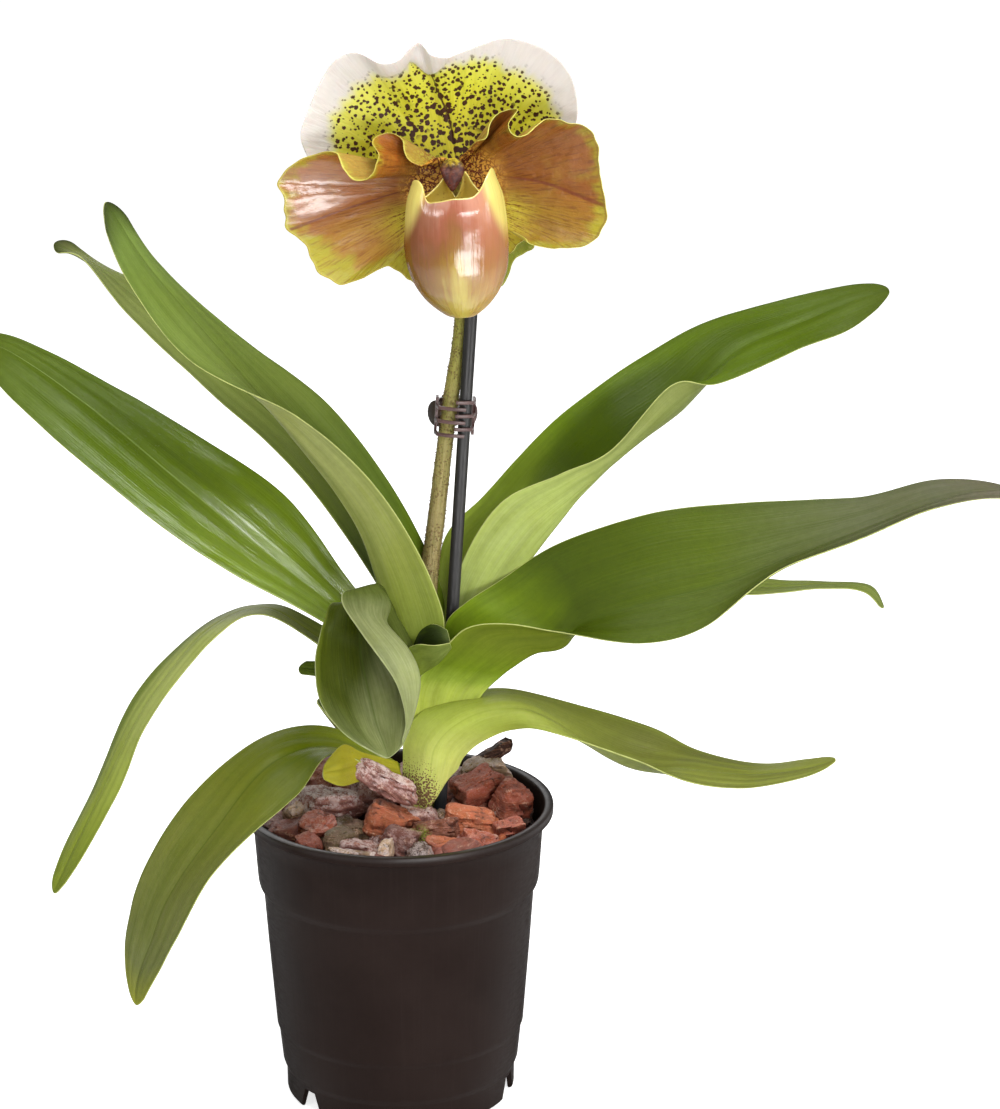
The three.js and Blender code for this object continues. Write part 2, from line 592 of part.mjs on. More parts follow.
function makePouch() {
  const { rings, sides, wall, toe } = pouch;
  const outer = [];
  const inner = [];
  rings.forEach(([z, cx, cy, halfX, halfY], i) => {
    const rise = Math.max(0, (i - rings.length + 4) / 3) ** 1.5;
    for (let k = 0; k < sides; k++) {
      const angle = (2 * Math.PI * k) / sides;
      const [right, back] = [Math.sin(angle), -Math.cos(angle)];
      const rim = right > 0 ? pouch.rimRight : pouch.rimLeft;
      const lift = rise * rim[Math.min(k, sides - k)];
      const reach = Math.max(0, lift) * pouch.lean;
      const x = cx - right * reach;
      outer.push([x + halfX * right, cy + halfY * back, z + lift]);
      const floorRise = i === 0 ? wall : 0;
      inner.push([x + (halfX - wall) * right, cy + (halfY - wall) * back, z + lift + floorRise]);
    }
  });
  const points = [...outer, ...inner, toe, [toe[0], toe[1], toe[2] + wall + 0.4]];
  const under = outer.length;
  const [toeOut, toeIn] = [points.length - 2, points.length - 1];
  const faces = [];
  for (let k = 0; k < sides; k++) {
    const next = (k + 1) % sides;
    faces.push([toeOut, next, k], [toeIn, under + k, under + next]);
    for (let i = 0; i < rings.length - 1; i++) {
      const [a, b] = [i * sides + k, i * sides + next];
      faces.push([a, b, a + sides], [b, b + sides, a + sides]);
      faces.push([under + a, under + a + sides, under + b]);
      faces.push([under + b, under + a + sides, under + b + sides]);
    }
    const [a, b] = [(rings.length - 1) * sides + k, (rings.length - 1) * sides + next];
    faces.push([a, b, under + a], [b, under + b, under + a]);
  }
  return indexed(points, faces);
}

// The short column with the shield that closes the pouch's mouth.
function makeColumn(swell = 0) {
  return taperedTube([[22.8, -13.2, 363.6], [22.6, -22, 366], [22.5, -31, 368.5]],
    [2.4, 2.8, 2.2].map((r) => r + swell), 10, 4);
}

function makeStaminode() {
  const shield = new THREE.Shape();
  shield.moveTo(0, -8);
  shield.quadraticCurveTo(5.5, -3, 4.6, 1.5);
  shield.quadraticCurveTo(3.6, 4.6, 0, 4.4);
  shield.quadraticCurveTo(-3.6, 4.6, -4.6, 1.5);
  shield.quadraticCurveTo(-5.5, -3, 0, -8);
  const face = new THREE.ExtrudeGeometry(shield, { depth: 1.6, bevelEnabled: false, curveSegments: 5 });
  face.rotateX(Math.PI / 2 - 0.5);
  face.translate(22.5, -30, 368);
  return body(joined([solid(makeColumn()), solid(face)]));
}

// ---- The clip that ties the scape to the stake ----

// The plan of a bent strip with parallel sides.
function strip(points, width) {
  const sideOf = (sign) => points.map((p, i) => {
    const [before, after] = [points[Math.max(i - 1, 0)], points[Math.min(i + 1, points.length - 1)]];
    const direction = new THREE.Vector2(after[0] - before[0], after[1] - before[1]).normalize();
    return new THREE.Vector2(p[0] - direction.y * sign * width / 2, p[1] + direction.x * sign * width / 2);
  });
  return new THREE.Shape([...sideOf(1), ...sideOf(-1).reverse()]);
}

function plate(shape, low, high) {
  return new THREE.ExtrudeGeometry(shape, { depth: high - low, bevelEnabled: false, curveSegments: 6 })
    .translate(0, 0, low);
}

// One jaw, drawn as the right-hand one: three fingers on a bar, a thumb pad and its knuckles.
function makeJaw(fingers, tip, knuckles) {
  const { side, band, finger, pinY } = clip;
  const pieces = fingers.map((z) => plate(strip([...side.slice(3), [tip, -6.4]], band),
    z - finger / 2, z + finger / 2));
  pieces.push(plate(strip(side.slice(3, 5), band), -clip.barHeight / 2, clip.barHeight / 2));
  const pad = plate(circle(clip.padRadius, 16), -0.7, 0.7);
  pad.rotateX(Math.PI / 2);
  pad.rotateZ(clip.padTurn);
  pad.translate(clip.padAt[0], pinY + clip.padAt[1], clip.padAt[2]);
  pieces.push(pad);
  knuckles.forEach(([low, high]) => {
    pieces.push(plate(strip(side.slice(0, 4), band), low, high));
    pieces.push(plate(strip([[0.9, pinY + 0.6], [4.4, pinY + 3.4]], 1.6), low, high));
    const ring = plate(circle(clip.knuckle, 14), low, high);
    pieces.push(ring.translate(0, pinY, 0));
  });
  const hole = plate(circle(clip.holeRadius, 14), -20, 20).translate(0, pinY, 0);
  return cut(joined(pieces.map(solid)), [solid(hole)]);
}

function makePin() {
  const { pinRadius, pinY } = clip;
  const profile = [[0, -5.9], [1.8, -5.9], [1.8, -5], [pinRadius, -5], [pinRadius, 5], [1.8, 5],
    [1.8, 5.9], [0, 5.9]];
  return revolve(profile, 14).translate(0, pinY, 0);
}

// The wound spring on the pin, its turns lying close.
function makeSpring() {
  const profile = [];
  const turns = 3;
  for (let i = 0; i < turns; i++) {
    const low = 1.0 + i * 0.5;
    profile.push([1.7, low], [2.0, low + 0.25]);
  }
  profile.push([1.7, 1.0 + turns * 0.5], [1.25, 1.0 + turns * 0.5], [1.25, 1.0], [1.7, 1.0]);
  return revolve(profile, 14).translate(0, clip.pinY, 0);
}

// ---- The assembly ----

const plant = new THREE.Group();

function add(name, geometry, colour, roughness = 0.5, parent = plant) {
  const material = new THREE.MeshStandardMaterial({ color: colour, roughness, metalness: 0 });
  const mesh = new THREE.Mesh(geometry, material);
  mesh.name = name;
  parent.add(mesh);
  return mesh;
}

add('pot', makePot(), colours.pot, 0.45);

// Leaves are trimmed where they meet the stem, the stake and the leaves that lie over them.
const standing = [makeCrown(cutGap), makeStake(cutGap), makeScape(cutGap)].map(solid);
const lying = [];
for (const [name, rails] of Object.entries(leaves)) {
  const colour = name === 'leaf_basal_yellow' ? colours.yellowLeaf : colours.leaf;
  add(name, body(cut(solid(blade(rails)), [...standing, ...lying])), colour, 0.35);
  lying.push(solid(blade(rails, cutGap)).add(solid(blade(rails))));
}

add('stem_crown', body(cut(solid(makeCrown()), [standing[1]])), colours.crown, 0.45);
add('stake', makeStake(), colours.stake, 0.4);
add('bark_medium', makeBark([standing[0], standing[1], ...lying]), colours.bark, 0.9);

add('scape', makeScape(), colours.scape, 0.7);
add('ovary', makeOvary(), colours.ovary, 0.6);
add('bract', body(cut(solid(blade(bractRails)), [standing[2], solid(makeOvary(cutGap))])),
  colours.leafPale, 0.5);

add('staminode', makeStaminode(), colours.staminode, 0.35);
add('pouch', makePouch(), colours.pouch, 0.2);
const petalColours = [colours.dorsal, colours.petal, colours.petal, colours.synsepal];
const inFront = [solid(makeColumn(cutGap))];
Object.entries(petals).reverse().forEach(([name, form], i) => {
  add(name, body(cut(solid(petal(form)), inFront)), petalColours[3 - i], 0.4);
  inFront.push(solid(petal(form, cutGap)).add(solid(petal(form))));
});

const clipGroup = new THREE.Group();
clipGroup.position.set(...clip.at);
clipGroup.rotation.y = THREE.MathUtils.degToRad(clip.lean);
clipGroup.rotation.z = THREE.MathUtils.degToRad(clip.turn);
plant.add(clipGroup);
const rightJaw = makeJaw(clip.rightFingers, clip.rightTip, [[-1.9, 0.6]]);
const leftJaw = makeJaw(clip.leftFingers, clip.leftTip, [[2.9, 4.7], [-4.7, -2.2]]);
add('clip_jaw_right', body(rightJaw), colours.clip, 0.35, clipGroup);
const mirrored = body(leftJaw).applyMatrix4(new THREE.Matrix4().makeScale(-1, 1, 1));
add('clip_jaw_left', outward(mirrored), colours.clip, 0.35, clipGroup);
add('clip_pin', makePin(), colours.clip, 0.35, clipGroup);
add('clip_spring', makeSpring(), colours.steel, 0.3, clipGroup);

export default plant;
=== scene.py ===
import math
import random

import bpy
import numpy as np
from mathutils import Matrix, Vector, noise


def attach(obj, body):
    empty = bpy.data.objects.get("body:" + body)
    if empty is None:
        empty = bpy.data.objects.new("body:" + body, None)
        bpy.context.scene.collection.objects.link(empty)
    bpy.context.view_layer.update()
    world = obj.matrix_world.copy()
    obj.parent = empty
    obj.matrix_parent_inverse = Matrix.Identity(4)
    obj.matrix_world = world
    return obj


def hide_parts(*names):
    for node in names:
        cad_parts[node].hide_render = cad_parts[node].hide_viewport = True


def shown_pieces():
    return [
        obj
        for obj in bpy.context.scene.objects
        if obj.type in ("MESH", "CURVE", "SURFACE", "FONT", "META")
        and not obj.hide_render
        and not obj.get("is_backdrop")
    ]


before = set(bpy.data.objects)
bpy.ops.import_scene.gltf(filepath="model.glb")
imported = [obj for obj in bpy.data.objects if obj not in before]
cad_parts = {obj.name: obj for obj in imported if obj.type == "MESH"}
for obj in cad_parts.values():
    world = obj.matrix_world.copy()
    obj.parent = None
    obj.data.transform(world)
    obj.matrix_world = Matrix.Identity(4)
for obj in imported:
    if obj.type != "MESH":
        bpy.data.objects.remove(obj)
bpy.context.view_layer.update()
scene = bpy.context.scene
mm = 0.001
plantBody = "plant_in_pot"
jawBody = "clip_jaw"
flowerCentre = (22.5, 361.0)                           # x and z, where the veins start
print("frame loaded:", len(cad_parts), "nodes")


def deselectAll():
    if bpy.context.mode != "OBJECT":
        bpy.ops.object.mode_set(mode="OBJECT")
    bpy.ops.object.select_all(action="DESELECT")


def pick(obj):
    deselectAll()
    obj.select_set(True)
    bpy.context.view_layer.objects.active = obj


def editAll():
    # edit mode on the active object, with all of it selected
    bpy.ops.object.mode_set(mode="EDIT")
    bpy.ops.mesh.select_all(action="SELECT")


def leaveEdit():
    bpy.ops.object.mode_set(mode="OBJECT")


def named(name):
    # the primitive just added, under its name
    obj = bpy.context.object
    obj.name = obj.data.name = name
    return obj


def applyModifier(obj, kind, **settings):
    pick(obj)
    modifier = obj.modifiers.new(kind.lower(), kind)
    for key, value in settings.items():
        setattr(modifier, key, value)
    bpy.ops.object.modifier_apply(modifier=modifier.name)


def settle(obj):
    # puts the object's place, turn and size into its mesh
    pick(obj)
    bpy.ops.object.transform_apply(location=True, rotation=True, scale=True)


def mergeDoubles(obj, distance=0.00002):
    pick(obj)
    editAll()
    bpy.ops.mesh.remove_doubles(threshold=distance)
    bpy.ops.mesh.normals_make_consistent(inside=False)
    leaveEdit()


def joinTo(obj, parts):
    pick(obj)
    for part in parts:
        part.select_set(True)
    bpy.ops.object.join()


def dress(obj, *materials):
    for material in materials:
        obj.data.materials.append(material)


def thicken(obj, thickness, offset=0, rim=0):
    # a sheet's thickness, with the second material on its back, then one smoothing
    applyModifier(obj, "SOLIDIFY", thickness=thickness * mm, offset=offset, vertex_group="thickness",
                  material_offset=1, material_offset_rim=rim)
    applyModifier(obj, "SUBSURF", levels=1, render_levels=1)


def finishPiece(obj, nodes=(), body=plantBody, angle=None):
    pick(obj)
    if angle is None:
        bpy.ops.object.shade_smooth()
    else:
        bpy.ops.object.shade_smooth_by_angle(angle=math.radians(angle))
    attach(obj, body)
    if nodes:
        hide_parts(*nodes)


def curveBetween(a, b, c, d, f):
    return 0.5 * (2 * b + (c - a) * f + (2 * a - 5 * b + 4 * c - d) * f * f
                  + (3 * b - a - 3 * c + d) * f ** 3)


def across(sections, t):
    # places at t (0 to 1, an array) on the smooth curve through each row of sections
    last = sections.shape[1] - 1
    at = np.clip(t, 0, 1) * last
    i = np.minimum(at.astype(int), last - 1)
    row = np.arange(len(t))
    share = (at - i).reshape(-1, *[1] * (sections.ndim - 2))
    return curveBetween(*(sections[row, np.clip(i + k, 0, last)] for k in (-1, 0, 1, 2)), share)


def along(points, t):
    # the same on one curve
    points = np.asarray(points, float)
    return across(np.broadcast_to(points, (len(t), *points.shape)), t)


def rise(low, high, value):
    # 0 below low, 1 above high, smooth between
    t = np.clip((value - low) / (high - low), 0, 1)
    return t * t * (3 - 2 * t)


def unit(vectors):
    return vectors / np.linalg.norm(vectors, axis=1)[:, None]


def readPoints(obj, kind="co"):
    flat = np.zeros(len(obj.data.vertices) * 3)
    obj.data.vertices.foreach_get(kind, flat)
    return flat.reshape(-1, 3)


def writePoints(obj, points):
    obj.data.vertices.foreach_set("co", np.asarray(points, float).ravel())
    obj.data.update()


def addAttributes(obj, **values):
    for name, value in values.items():
        made = obj.data.attributes.new(name, "FLOAT", "POINT")
        made.data.foreach_set("value", np.asarray(value, np.float32))


def addTone(obj, colour):
    made = obj.data.color_attributes.new("tone", "FLOAT_COLOR", "POINT")
    made.data.foreach_set("color", np.tile(colour, len(obj.data.vertices)).astype(np.float32))


def addGrid(name, rows, columns):
    # a flat grid; returns it with the share along (rows) and across (columns) at each of its points
    deselectAll()
    bpy.ops.mesh.primitive_grid_add(x_subdivisions=rows, y_subdivisions=columns, size=1)
    obj = named(name)
    flat = readPoints(obj)
    return obj, flat[:, 0] + 0.5, flat[:, 1] + 0.5


def thicknessGroup(obj, weights):
    group = obj.vertex_groups.new(name="thickness")
    for i, weight in enumerate(weights):
        group.add([i], float(weight), "REPLACE")


def wave(points, size, seed=0):
    # smooth noise from -1 to 1 at each point, for features of about that size in metres
    shift = Vector((seed * 7.3, seed * 3.1, seed * 5.7))
    return np.array([noise.noise(Vector(p) / size + shift) for p in points])


def screen(r, g, b):
    # an 8-bit screen colour as the linear colour that a shader takes
    linear = [((c / 255 + 0.055) / 1.055) ** 2.4 if c > 10 else c / 3294 for c in (r, g, b)]
    return (*linear, 1)


def tone(colour):
    # three numbers are a screen colour; four numbers or a node's output are taken as they are
    return screen(*colour) if isinstance(colour, tuple) and len(colour) == 3 else colour


class Value:
    # what a node gives out, open to plain arithmetic

    def __init__(self, finish, socket):
        self.finish = finish
        self.socket = socket

    def __add__(self, other):
        return self.finish.math("ADD", self, other)

    def __sub__(self, other):
        return self.finish.math("SUBTRACT", self, other)

    def __rsub__(self, other):
        return self.finish.math("SUBTRACT", other, self)

    def __mul__(self, other):
        return self.finish.math("MULTIPLY", self, other)

    def __truediv__(self, other):
        return self.finish.math("DIVIDE", self, other)

    def __abs__(self):
        return self.finish.math("ABSOLUTE", self)

    def between(self, low, high, outLow=0.0, outHigh=1.0):
        # a smooth step from one level to the other
        return self.finish.out("MapRange", {0: self, 1: low, 2: high, 3: outLow, 4: outHigh},
                               interpolation_type="SMOOTHSTEP")


class Finish:
    # a new material, with short ways to add its nodes and to lay colours over each other

    def __init__(self, name):
        self.material = bpy.data.materials.new(name)
        self.material.use_nodes = True
        self.tree = self.material.node_tree
        self.shader = self.tree.nodes["Principled BSDF"]
        self.colour = None

    def put(self, socket, value):
        value = getattr(value, "socket", value)
        if isinstance(value, bpy.types.NodeSocket):
            self.tree.links.new(value, socket)
        else:
            socket.default_value = value

    def node(self, kind, inputs, **settings):
        made = self.tree.nodes.new("ShaderNode" + kind)
        for key, value in settings.items():
            setattr(made, key, value)
        for socket, value in inputs.items():
            self.put(made.inputs[socket], value)
        return made

    def out(self, kind, inputs, output=0, **settings):
        return Value(self, self.node(kind, inputs, **settings).outputs[output])

    def math(self, operation, *values):
        return self.out("Math", dict(enumerate(values)), operation=operation)

    def mix(self, share, a, b, blend="MIX"):
        return self.out("Mix", {0: share, 6: tone(a), 7: tone(b)}, 2, data_type="RGBA",
                        blend_type=blend)

    def paint(self, share, colour, blend="MIX"):
        self.colour = self.mix(share, self.colour, colour, blend)

    def ramp(self, value, stops):
        made = self.node("ValToRGB", {0: value})
        elements = made.color_ramp.elements
        while len(elements) < len(stops):
            elements.new(0.5)
        for element, (at, colour) in zip(elements, stops):
            element.position = at
            element.color = tone(colour)
        return Value(self, made.outputs[0])

    def place(self):
        return self.out("TexCoord", {}, "Object")

    def parts(self, vector):
        return [Value(self, output) for output in self.node("SeparateXYZ", {0: vector}).outputs]

    def surface(self):
        # the share along and across, from the UV map
        return self.parts(self.out("TexCoord", {}, "UV"))[:2]

    def value(self, name):
        return self.out("Attribute", {}, "Fac", attribute_name=name)

    def vector(self, x, y, z=0.0):
        return self.out("CombineXYZ", {0: x, 1: y, 2: z})

    def noise(self, vector, scale, detail=3.0, roughness=0.55):
        return self.out("TexNoise", {"Vector": vector, "Scale": scale, "Detail": detail,
                                     "Roughness": roughness}, "Fac")

    def gloss(self, weight):
        # a shine that fades where the surface turns away
        return self.out("LayerWeight", {}, "Facing").between(0.45, 0.85, weight, weight * 0.1)

    def bump(self, height, depth):
        return self.out("Bump", {"Height": height, "Strength": 1.0, "Distance": depth})

    def finish(self, roughness, normal, **sockets):
        sockets.update(Base_Color=self.colour, Roughness=roughness, Normal=normal)
        for name, value in sockets.items():
            if value is not None:
                self.put(self.shader.inputs[name.replace("_", " ")], value)
        return self.material


def leafFinish(name, look, under=False):
    # stops run from the leaf's base to its tip; V is 0.5 on the midrib
    f = Finish(name)
    u, v = f.surface()
    place = f.place()
    x, _, z = f.parts(place)
    f.colour = f.ramp(u, look["under" if under else "upper"])
    # painted sheen: a paler patch on the upper face where it catches the light
    if "paintedSheen" in look and not under:
        fromU, toU, fromV, toV, colour = look["paintedSheen"]
        f.paint(u.between(fromU, toU) * v.between(fromV, toV), colour)
    # painted light: pale patches listed for a leaf are painted highlight and sheen, dark ones painted
    # shade
    for atU, atV, reachU, reachV, colour in () if under else look.get("paintedLightPatches", ()):
        du = (u - atU) / reachU
        dv = (v - atV) / reachV
        f.paint((du * du + dv * dv).between(0.1, 1, 1, 0), colour)
    off = abs(v - 0.5)
    fine = f.noise(f.vector(u * 7, v * 85), 1, 2)
    broad = f.noise(f.vector(u * 2.5, v * 9), 1, 3)
    mottle = f.noise(place, 55, 4)
    cells = f.noise(place, 420, 3, 0.7)
    f.paint(fine.between(0.3, 0.7, 0, 0.34), look["vein"], "SOFT_LIGHT")
    f.paint(broad.between(0.35, 0.68, 0, 0.35), look["broad"])
    f.paint(mottle.between(0.42, 0.7, 0, 0.16), look["mottle"], "SOFT_LIGHT")
    f.paint(cells.between(0.3, 0.75, 0, 0.1), (0.02, 0.03, 0.01, 1), "OVERLAY")
    rib = 1 - (off / u.between(0, 1, 0.012, 0.004)).between(0.4, 1.6)
    f.paint(rib * (look["ribStrength"] + (0.2 if under else 0)), look["rib"])
    f.paint(off.between(0.487, 0.497) * 0.7, look["margin"])
    for low, high, strength, colour in look.get("patches", ()):
        spots = f.out("TexVoronoi", {"Vector": place, "Scale": 1250.0}, "Distance")
        limit = z.between(low, high, 0.66, 0.16) - x.between(0.012, 0.019, 0, 0.5)
        thick = (spots - limit).between(-0.1, 0.06, 1, 0)
        f.paint(z.between(high - 0.005, high, 1, 0) * thick * strength, colour)
    rough = look["roughness"] + (0.12 if under else 0)
    rough = (fine + cells).between(0.6, 1.4, rough - 0.07, rough + 0.1)
    shine, wax = look["shine"], 0.0
    if "wax" in look:                   # glossy near its base, dull at its tip
        wax = u.between(0.3, 0.55, look["wax"], 0)
        shine = u.between(0.45, 0.8, shine, look["tipShine"])
        rough += u.between(0.45, 0.8, 0, look["dullTip"])
    return f.finish(rough, f.bump(fine * 0.6 + cells * 0.4, look["pebble"]), Subsurface_Weight=0.08,
                    Subsurface_Scale=0.002, Subsurface_Radius=(0.5, 1.0, 0.2), IOR=1.4,
                    Specular_IOR_Level=shine, Coat_IOR=1.6, Coat_Roughness=0.13, Coat_Weight=wax)


def marginFinish(name, colour):
    f = Finish(name)
    place = f.place()
    f.colour = f.mix(f.noise(place, 300, 3).between(0.3, 0.7), colour, tuple(c * 0.82 for c in colour))
    return f.finish(f.noise(place, 800, 2).between(0.3, 0.7, 0.35, 0.5),
                    f.bump(f.noise(place, 900, 2), 0.0001), Specular_IOR_Level=0.3)


# near edge, midrib, far edge from base to tip, as in the part's source
leafRails = {
    "leaf_front_cupped": [
        [[0, -7, 186], [2, -9, 181], [5, -11, 178], [6, -11, 183], [6, -8, 187]],
        [[-14, -13, 198], [-12, -16, 199], [-6, -18, 200], [-3, -15, 206], [-7, -19, 207]],
        [[-23, -20, 204], [-19, -25, 205.5], [-12, -26, 206.5], [-6, -25, 212.5],
         [-16.5, -31, 212.5]],
        [[-25.5, -29, 201], [-21.5, -31.5, 199.5], [-12.5, -32, 198], [-1.5, -31, 208],
         [-19, -37, 211]],
        [[-27, -38, 197], [-23, -37, 193], [-12, -36, 189], [-2.2, -37, 201.5], [-15.5, -43, 206]],
        [[-28, -50, 189], [-22, -48, 182], [-9, -46, 178], [7, -45, 192], [-6, -54, 196]],
        [[-26, -59, 179], [-18, -57, 174], [-6, -54, 169], [10, -53, 183], [2, -59, 185]],
        [[-18, -64, 169], [-12, -62, 166], [-3, -60, 163], [7, -59, 171], [5, -61, 172]],
        [[-7, -66, 162], [-4, -65, 160], [-1, -64, 159], [3, -63, 162], [3, -64, 163]],
    ],
    "leaf_young": [
        [[5, -14, 185], [8, -12, 173], [6.5, -9, 187.5]],
        [[9, -18, 187.5], [11, -14, 176], [9, -10.5, 191.5]],
        [[15, -19, 187.5], [16, -16, 180], [14.5, -12, 193.5]],
        [[21, -18, 188], [21, -16, 186], [20, -14, 191.5]],
    ],
    "leaf_right_low": [
        [[20, -6, 121], [12, -10, 119], [2, -5, 120]],
        [[24, -8, 136], [13, -13, 135], [2, -5, 136]],
        [[28, -9, 142], [15, -15, 146], [3, -6, 146]],
        [[34, -11, 147], [23, -16, 155], [9, -6, 156]],
        [[44, -14, 152], [36, -15, 160], [25, -4, 163]],
        [[58, -19, 153], [54, -12, 158], [47, 0, 163]],
        [[90, -22, 143], [87, -10, 137], [93, 6, 148]],
        [[111, -20, 133], [112, -10, 135], [117, 4, 137]],
        [[133, -18, 130], [135, -11, 133], [139, -2, 134]],
        [[155, -17, 134], [156, -13, 136], [156, -8, 138]],
        [[167, -15, 139], [167, -14, 140], [167, -12, 141]],
    ],
    "leaf_right_wide": [
        [[6, -4, 151], [28, -5, 156], [16, -3, 155]],
        [[7, -8, 166], [33, -9, 166], [16, -3, 168]],
        [[11, -13, 176], [38, -11, 172], [17, -3, 181]],
        [[18, -16, 185], [44, -12, 177], [19, -4, 192]],
        [[27, -18, 194], [53, -13, 183], [26, -3, 199]],
        [[41, -20, 196], [63, -12, 185], [39, 3, 206]],
        [[62, -22, 193], [71, -10, 193], [62, 10, 219]],
        [[92, -22, 189], [95, -9, 201], [98, 10, 231]],
        [[116, -18, 194], [123, -5, 207], [129, 12, 234]],
        [[141, -10, 212], [151, 0, 217], [157, 14, 235]],
        [[175, 0, 223], [176, 6, 225], [179, 15, 236]],
        [[204, 8, 233], [206, 12, 235], [205, 17, 242]],
        [[230, 15, 235], [230, 18, 237], [230, 21, 239]],
        [[246, 21, 227], [246, 23, 228], [247, 25, 229]],
    ],
    "leaf_upper_left": [
        [[13, -8, 175], [5, -3, 170], [13, 6, 175]],
        [[18, -12, 198], [-2, -8, 193], [18, 8, 198]],
        [[-2, -16, 242], [-14.2, -3, 230], [1, 12, 236]],
        [[-33, -16, 273], [-39.6, -2, 266.4], [-26, 13, 273]],
        [[-74, -14, 295], [-67, 0, 299], [-61, 12, 301]],
        [[-97, -8, 324], [-91, 5, 327], [-88, 12, 327]],
        [[-107, 3, 345], [-106, 8, 350], [-101, 13, 348]],
    ],
    "leaf_far_left": [
        [[-2, -1, 171], [1, 4, 174], [2, 9, 178]],
        [[-28, -8, 193], [-24, 3, 196], [-18, 12, 203]],
        [[-63, -10, 213.8], [-55, 6, 221], [-42, 20, 234]],
        [[-93, -4, 233.5], [-84, 14, 243.5], [-74, 28, 255]],
        [[-127, 8, 259], [-117, 24, 269], [-111, 34, 276]],
        [[-151, 22, 278], [-145, 32, 287], [-144, 38, 292]],
        [[-161, 37, 291], [-162, 40, 292], [-162, 43, 294]],
    ],
    "leaf_left_low": [
        [[0, -12, 129], [1, -6, 131], [1, 0, 133]],
        [[-23, -24, 146], [-25, -14, 145], [-26, -2, 149]],
        [[-36, -38, 135], [-47, -28, 143], [-51, -14, 149]],
        [[-55, -52, 122], [-67, -42, 122], [-77, -28, 131]],
        [[-69, -62, 109], [-83, -52, 101], [-94, -40, 107]],
        [[-80, -68, 89], [-90, -60, 85], [-100, -50, 88]],
        [[-89, -72, 73], [-95, -66, 72], [-100, -60, 75]],
        [[-93, -71, 65], [-95, -70, 64], [-97, -69, 65]],
    ],
    "leaf_basal_yellow": [
        [[2, -8, 130], [1, -7, 133], [0, -5, 136]],
        [[-12, -18, 133], [-14, -18, 139], [-13, -14, 143]],
        [[-20, -32, 136], [-21, -30, 142], [-20, -22, 149]],
        [[-27, -35, 140], [-27, -34, 142], [-27, -32, 144]],
    ],
    "leaf_upper_right": [
        [[19, 6, 175], [19, 10, 170], [16, 16, 178]],
        [[23, 4, 208], [38, 8, 197], [17, 22, 215]],
        [[39, 4, 236], [55, 9, 219], [34, 28, 234]],
        [[62, 6, 247], [69, 12, 237], [57, 34, 258]],
        [[81, 10, 255], [87, 17, 254], [77, 40, 273]],
        [[104, 16, 279], [108, 24, 268], [95, 46, 284]],
        [[122, 22, 278], [129, 36, 287], [118, 50, 296]],
        [[154, 34, 289], [154, 46, 296], [150, 56, 304]],
        [[174, 42, 295], [176, 52, 304], [175, 58, 309]],
        [[191, 56, 305], [190, 58, 307], [189, 60, 309]],
    ],
    "leaf_left_droop": [
        [[2, -4, 160], [3, 2, 162], [2, 8, 164]],
        [[-25, -4, 180], [-29, 4, 182], [-33, 12, 188]],
        [[-51, -2, 194], [-51, 6, 194], [-52, 14, 193]],
        [[-69, -8, 186], [-73, 0, 186], [-75, 8, 186]],
        [[-93, -16, 157], [-96, -8, 159], [-101, 0, 160]],
        [[-105, -20, 130], [-111, -14, 130], [-117, -8, 125]],
        [[-119, -24, 105], [-123, -18, 106], [-128, -12, 104]],
        [[-129, -25, 90], [-131, -23, 89], [-133, -21, 91]],
    ],
    "leaf_left_behind": [
        [[6, 8, 175], [9, 13, 176], [12, 17, 178]],
        [[-8, 12, 202], [-5, 22, 205], [1, 30, 206]],
        [[-37, 16, 244], [-30, 28, 246], [-22, 38, 248]],
        [[-76, 24, 279], [-70, 36, 282], [-61, 46, 286]],
        [[-104, 32, 305], [-100, 42, 307], [-95, 50, 309]],
        [[-120, 40, 323], [-117, 45, 320], [-114, 50, 319]],
        [[-131, 43, 324], [-131, 47, 327.5], [-127, 51, 329]],
    ],
    "leaf_right_behind": [
        [[16, 14, 167], [18, 18, 169], [21, 22, 171]],
        [[63, 42, 185], [64, 47, 188], [65, 53, 191]],
        [[107, 54, 187], [108, 60, 189], [109, 66, 192]],
        [[140, 60, 183], [144, 66, 184], [149, 72, 186]],
        [[168, 65, 184], [169, 70, 184], [169, 75, 184]],
        [[185, 67, 182], [187, 70, 183], [188, 73, 183]],
        [[193, 69, 174], [194, 71, 174], [194, 73, 175]],
    ],
    "leaf_small_left": [
        [[1, 2, 156], [1, 6, 158], [1, 10, 160]],
        [[-20, 4, 165], [-21, 7, 167], [-21, 10, 170]],
        [[-38, 5, 168], [-38, 7, 170], [-36, 9, 172]],
    ],
    "leaf_small_low": [
        [[-4, -2, 131], [-5, 2, 132], [-4, 6, 133]],
        [[-18, 2, 141], [-20, 4, 143], [-21, 7, 145]],
        [[-31, 3, 157], [-31, 5, 157], [-31, 7, 158]],
    ],
}

leafShape = {
    "rowsPerStation": 9, "leastRows": 24, "columns": 22, "wideColumns": 34,
    "middle": 1.5, "edge": 0.55, "thinning": 0.5,      # thickness: midrib, edge, share lost to the tip
    "groove": 0.45, "grooveWidth": 0.05,               # the channel over the midrib
    "ribs": 5, "ripple": 0.5, "rippleSize": 22, "wrinkle": 0.25, "wrinkleSize": 9, "tipRound": 0.05,
}

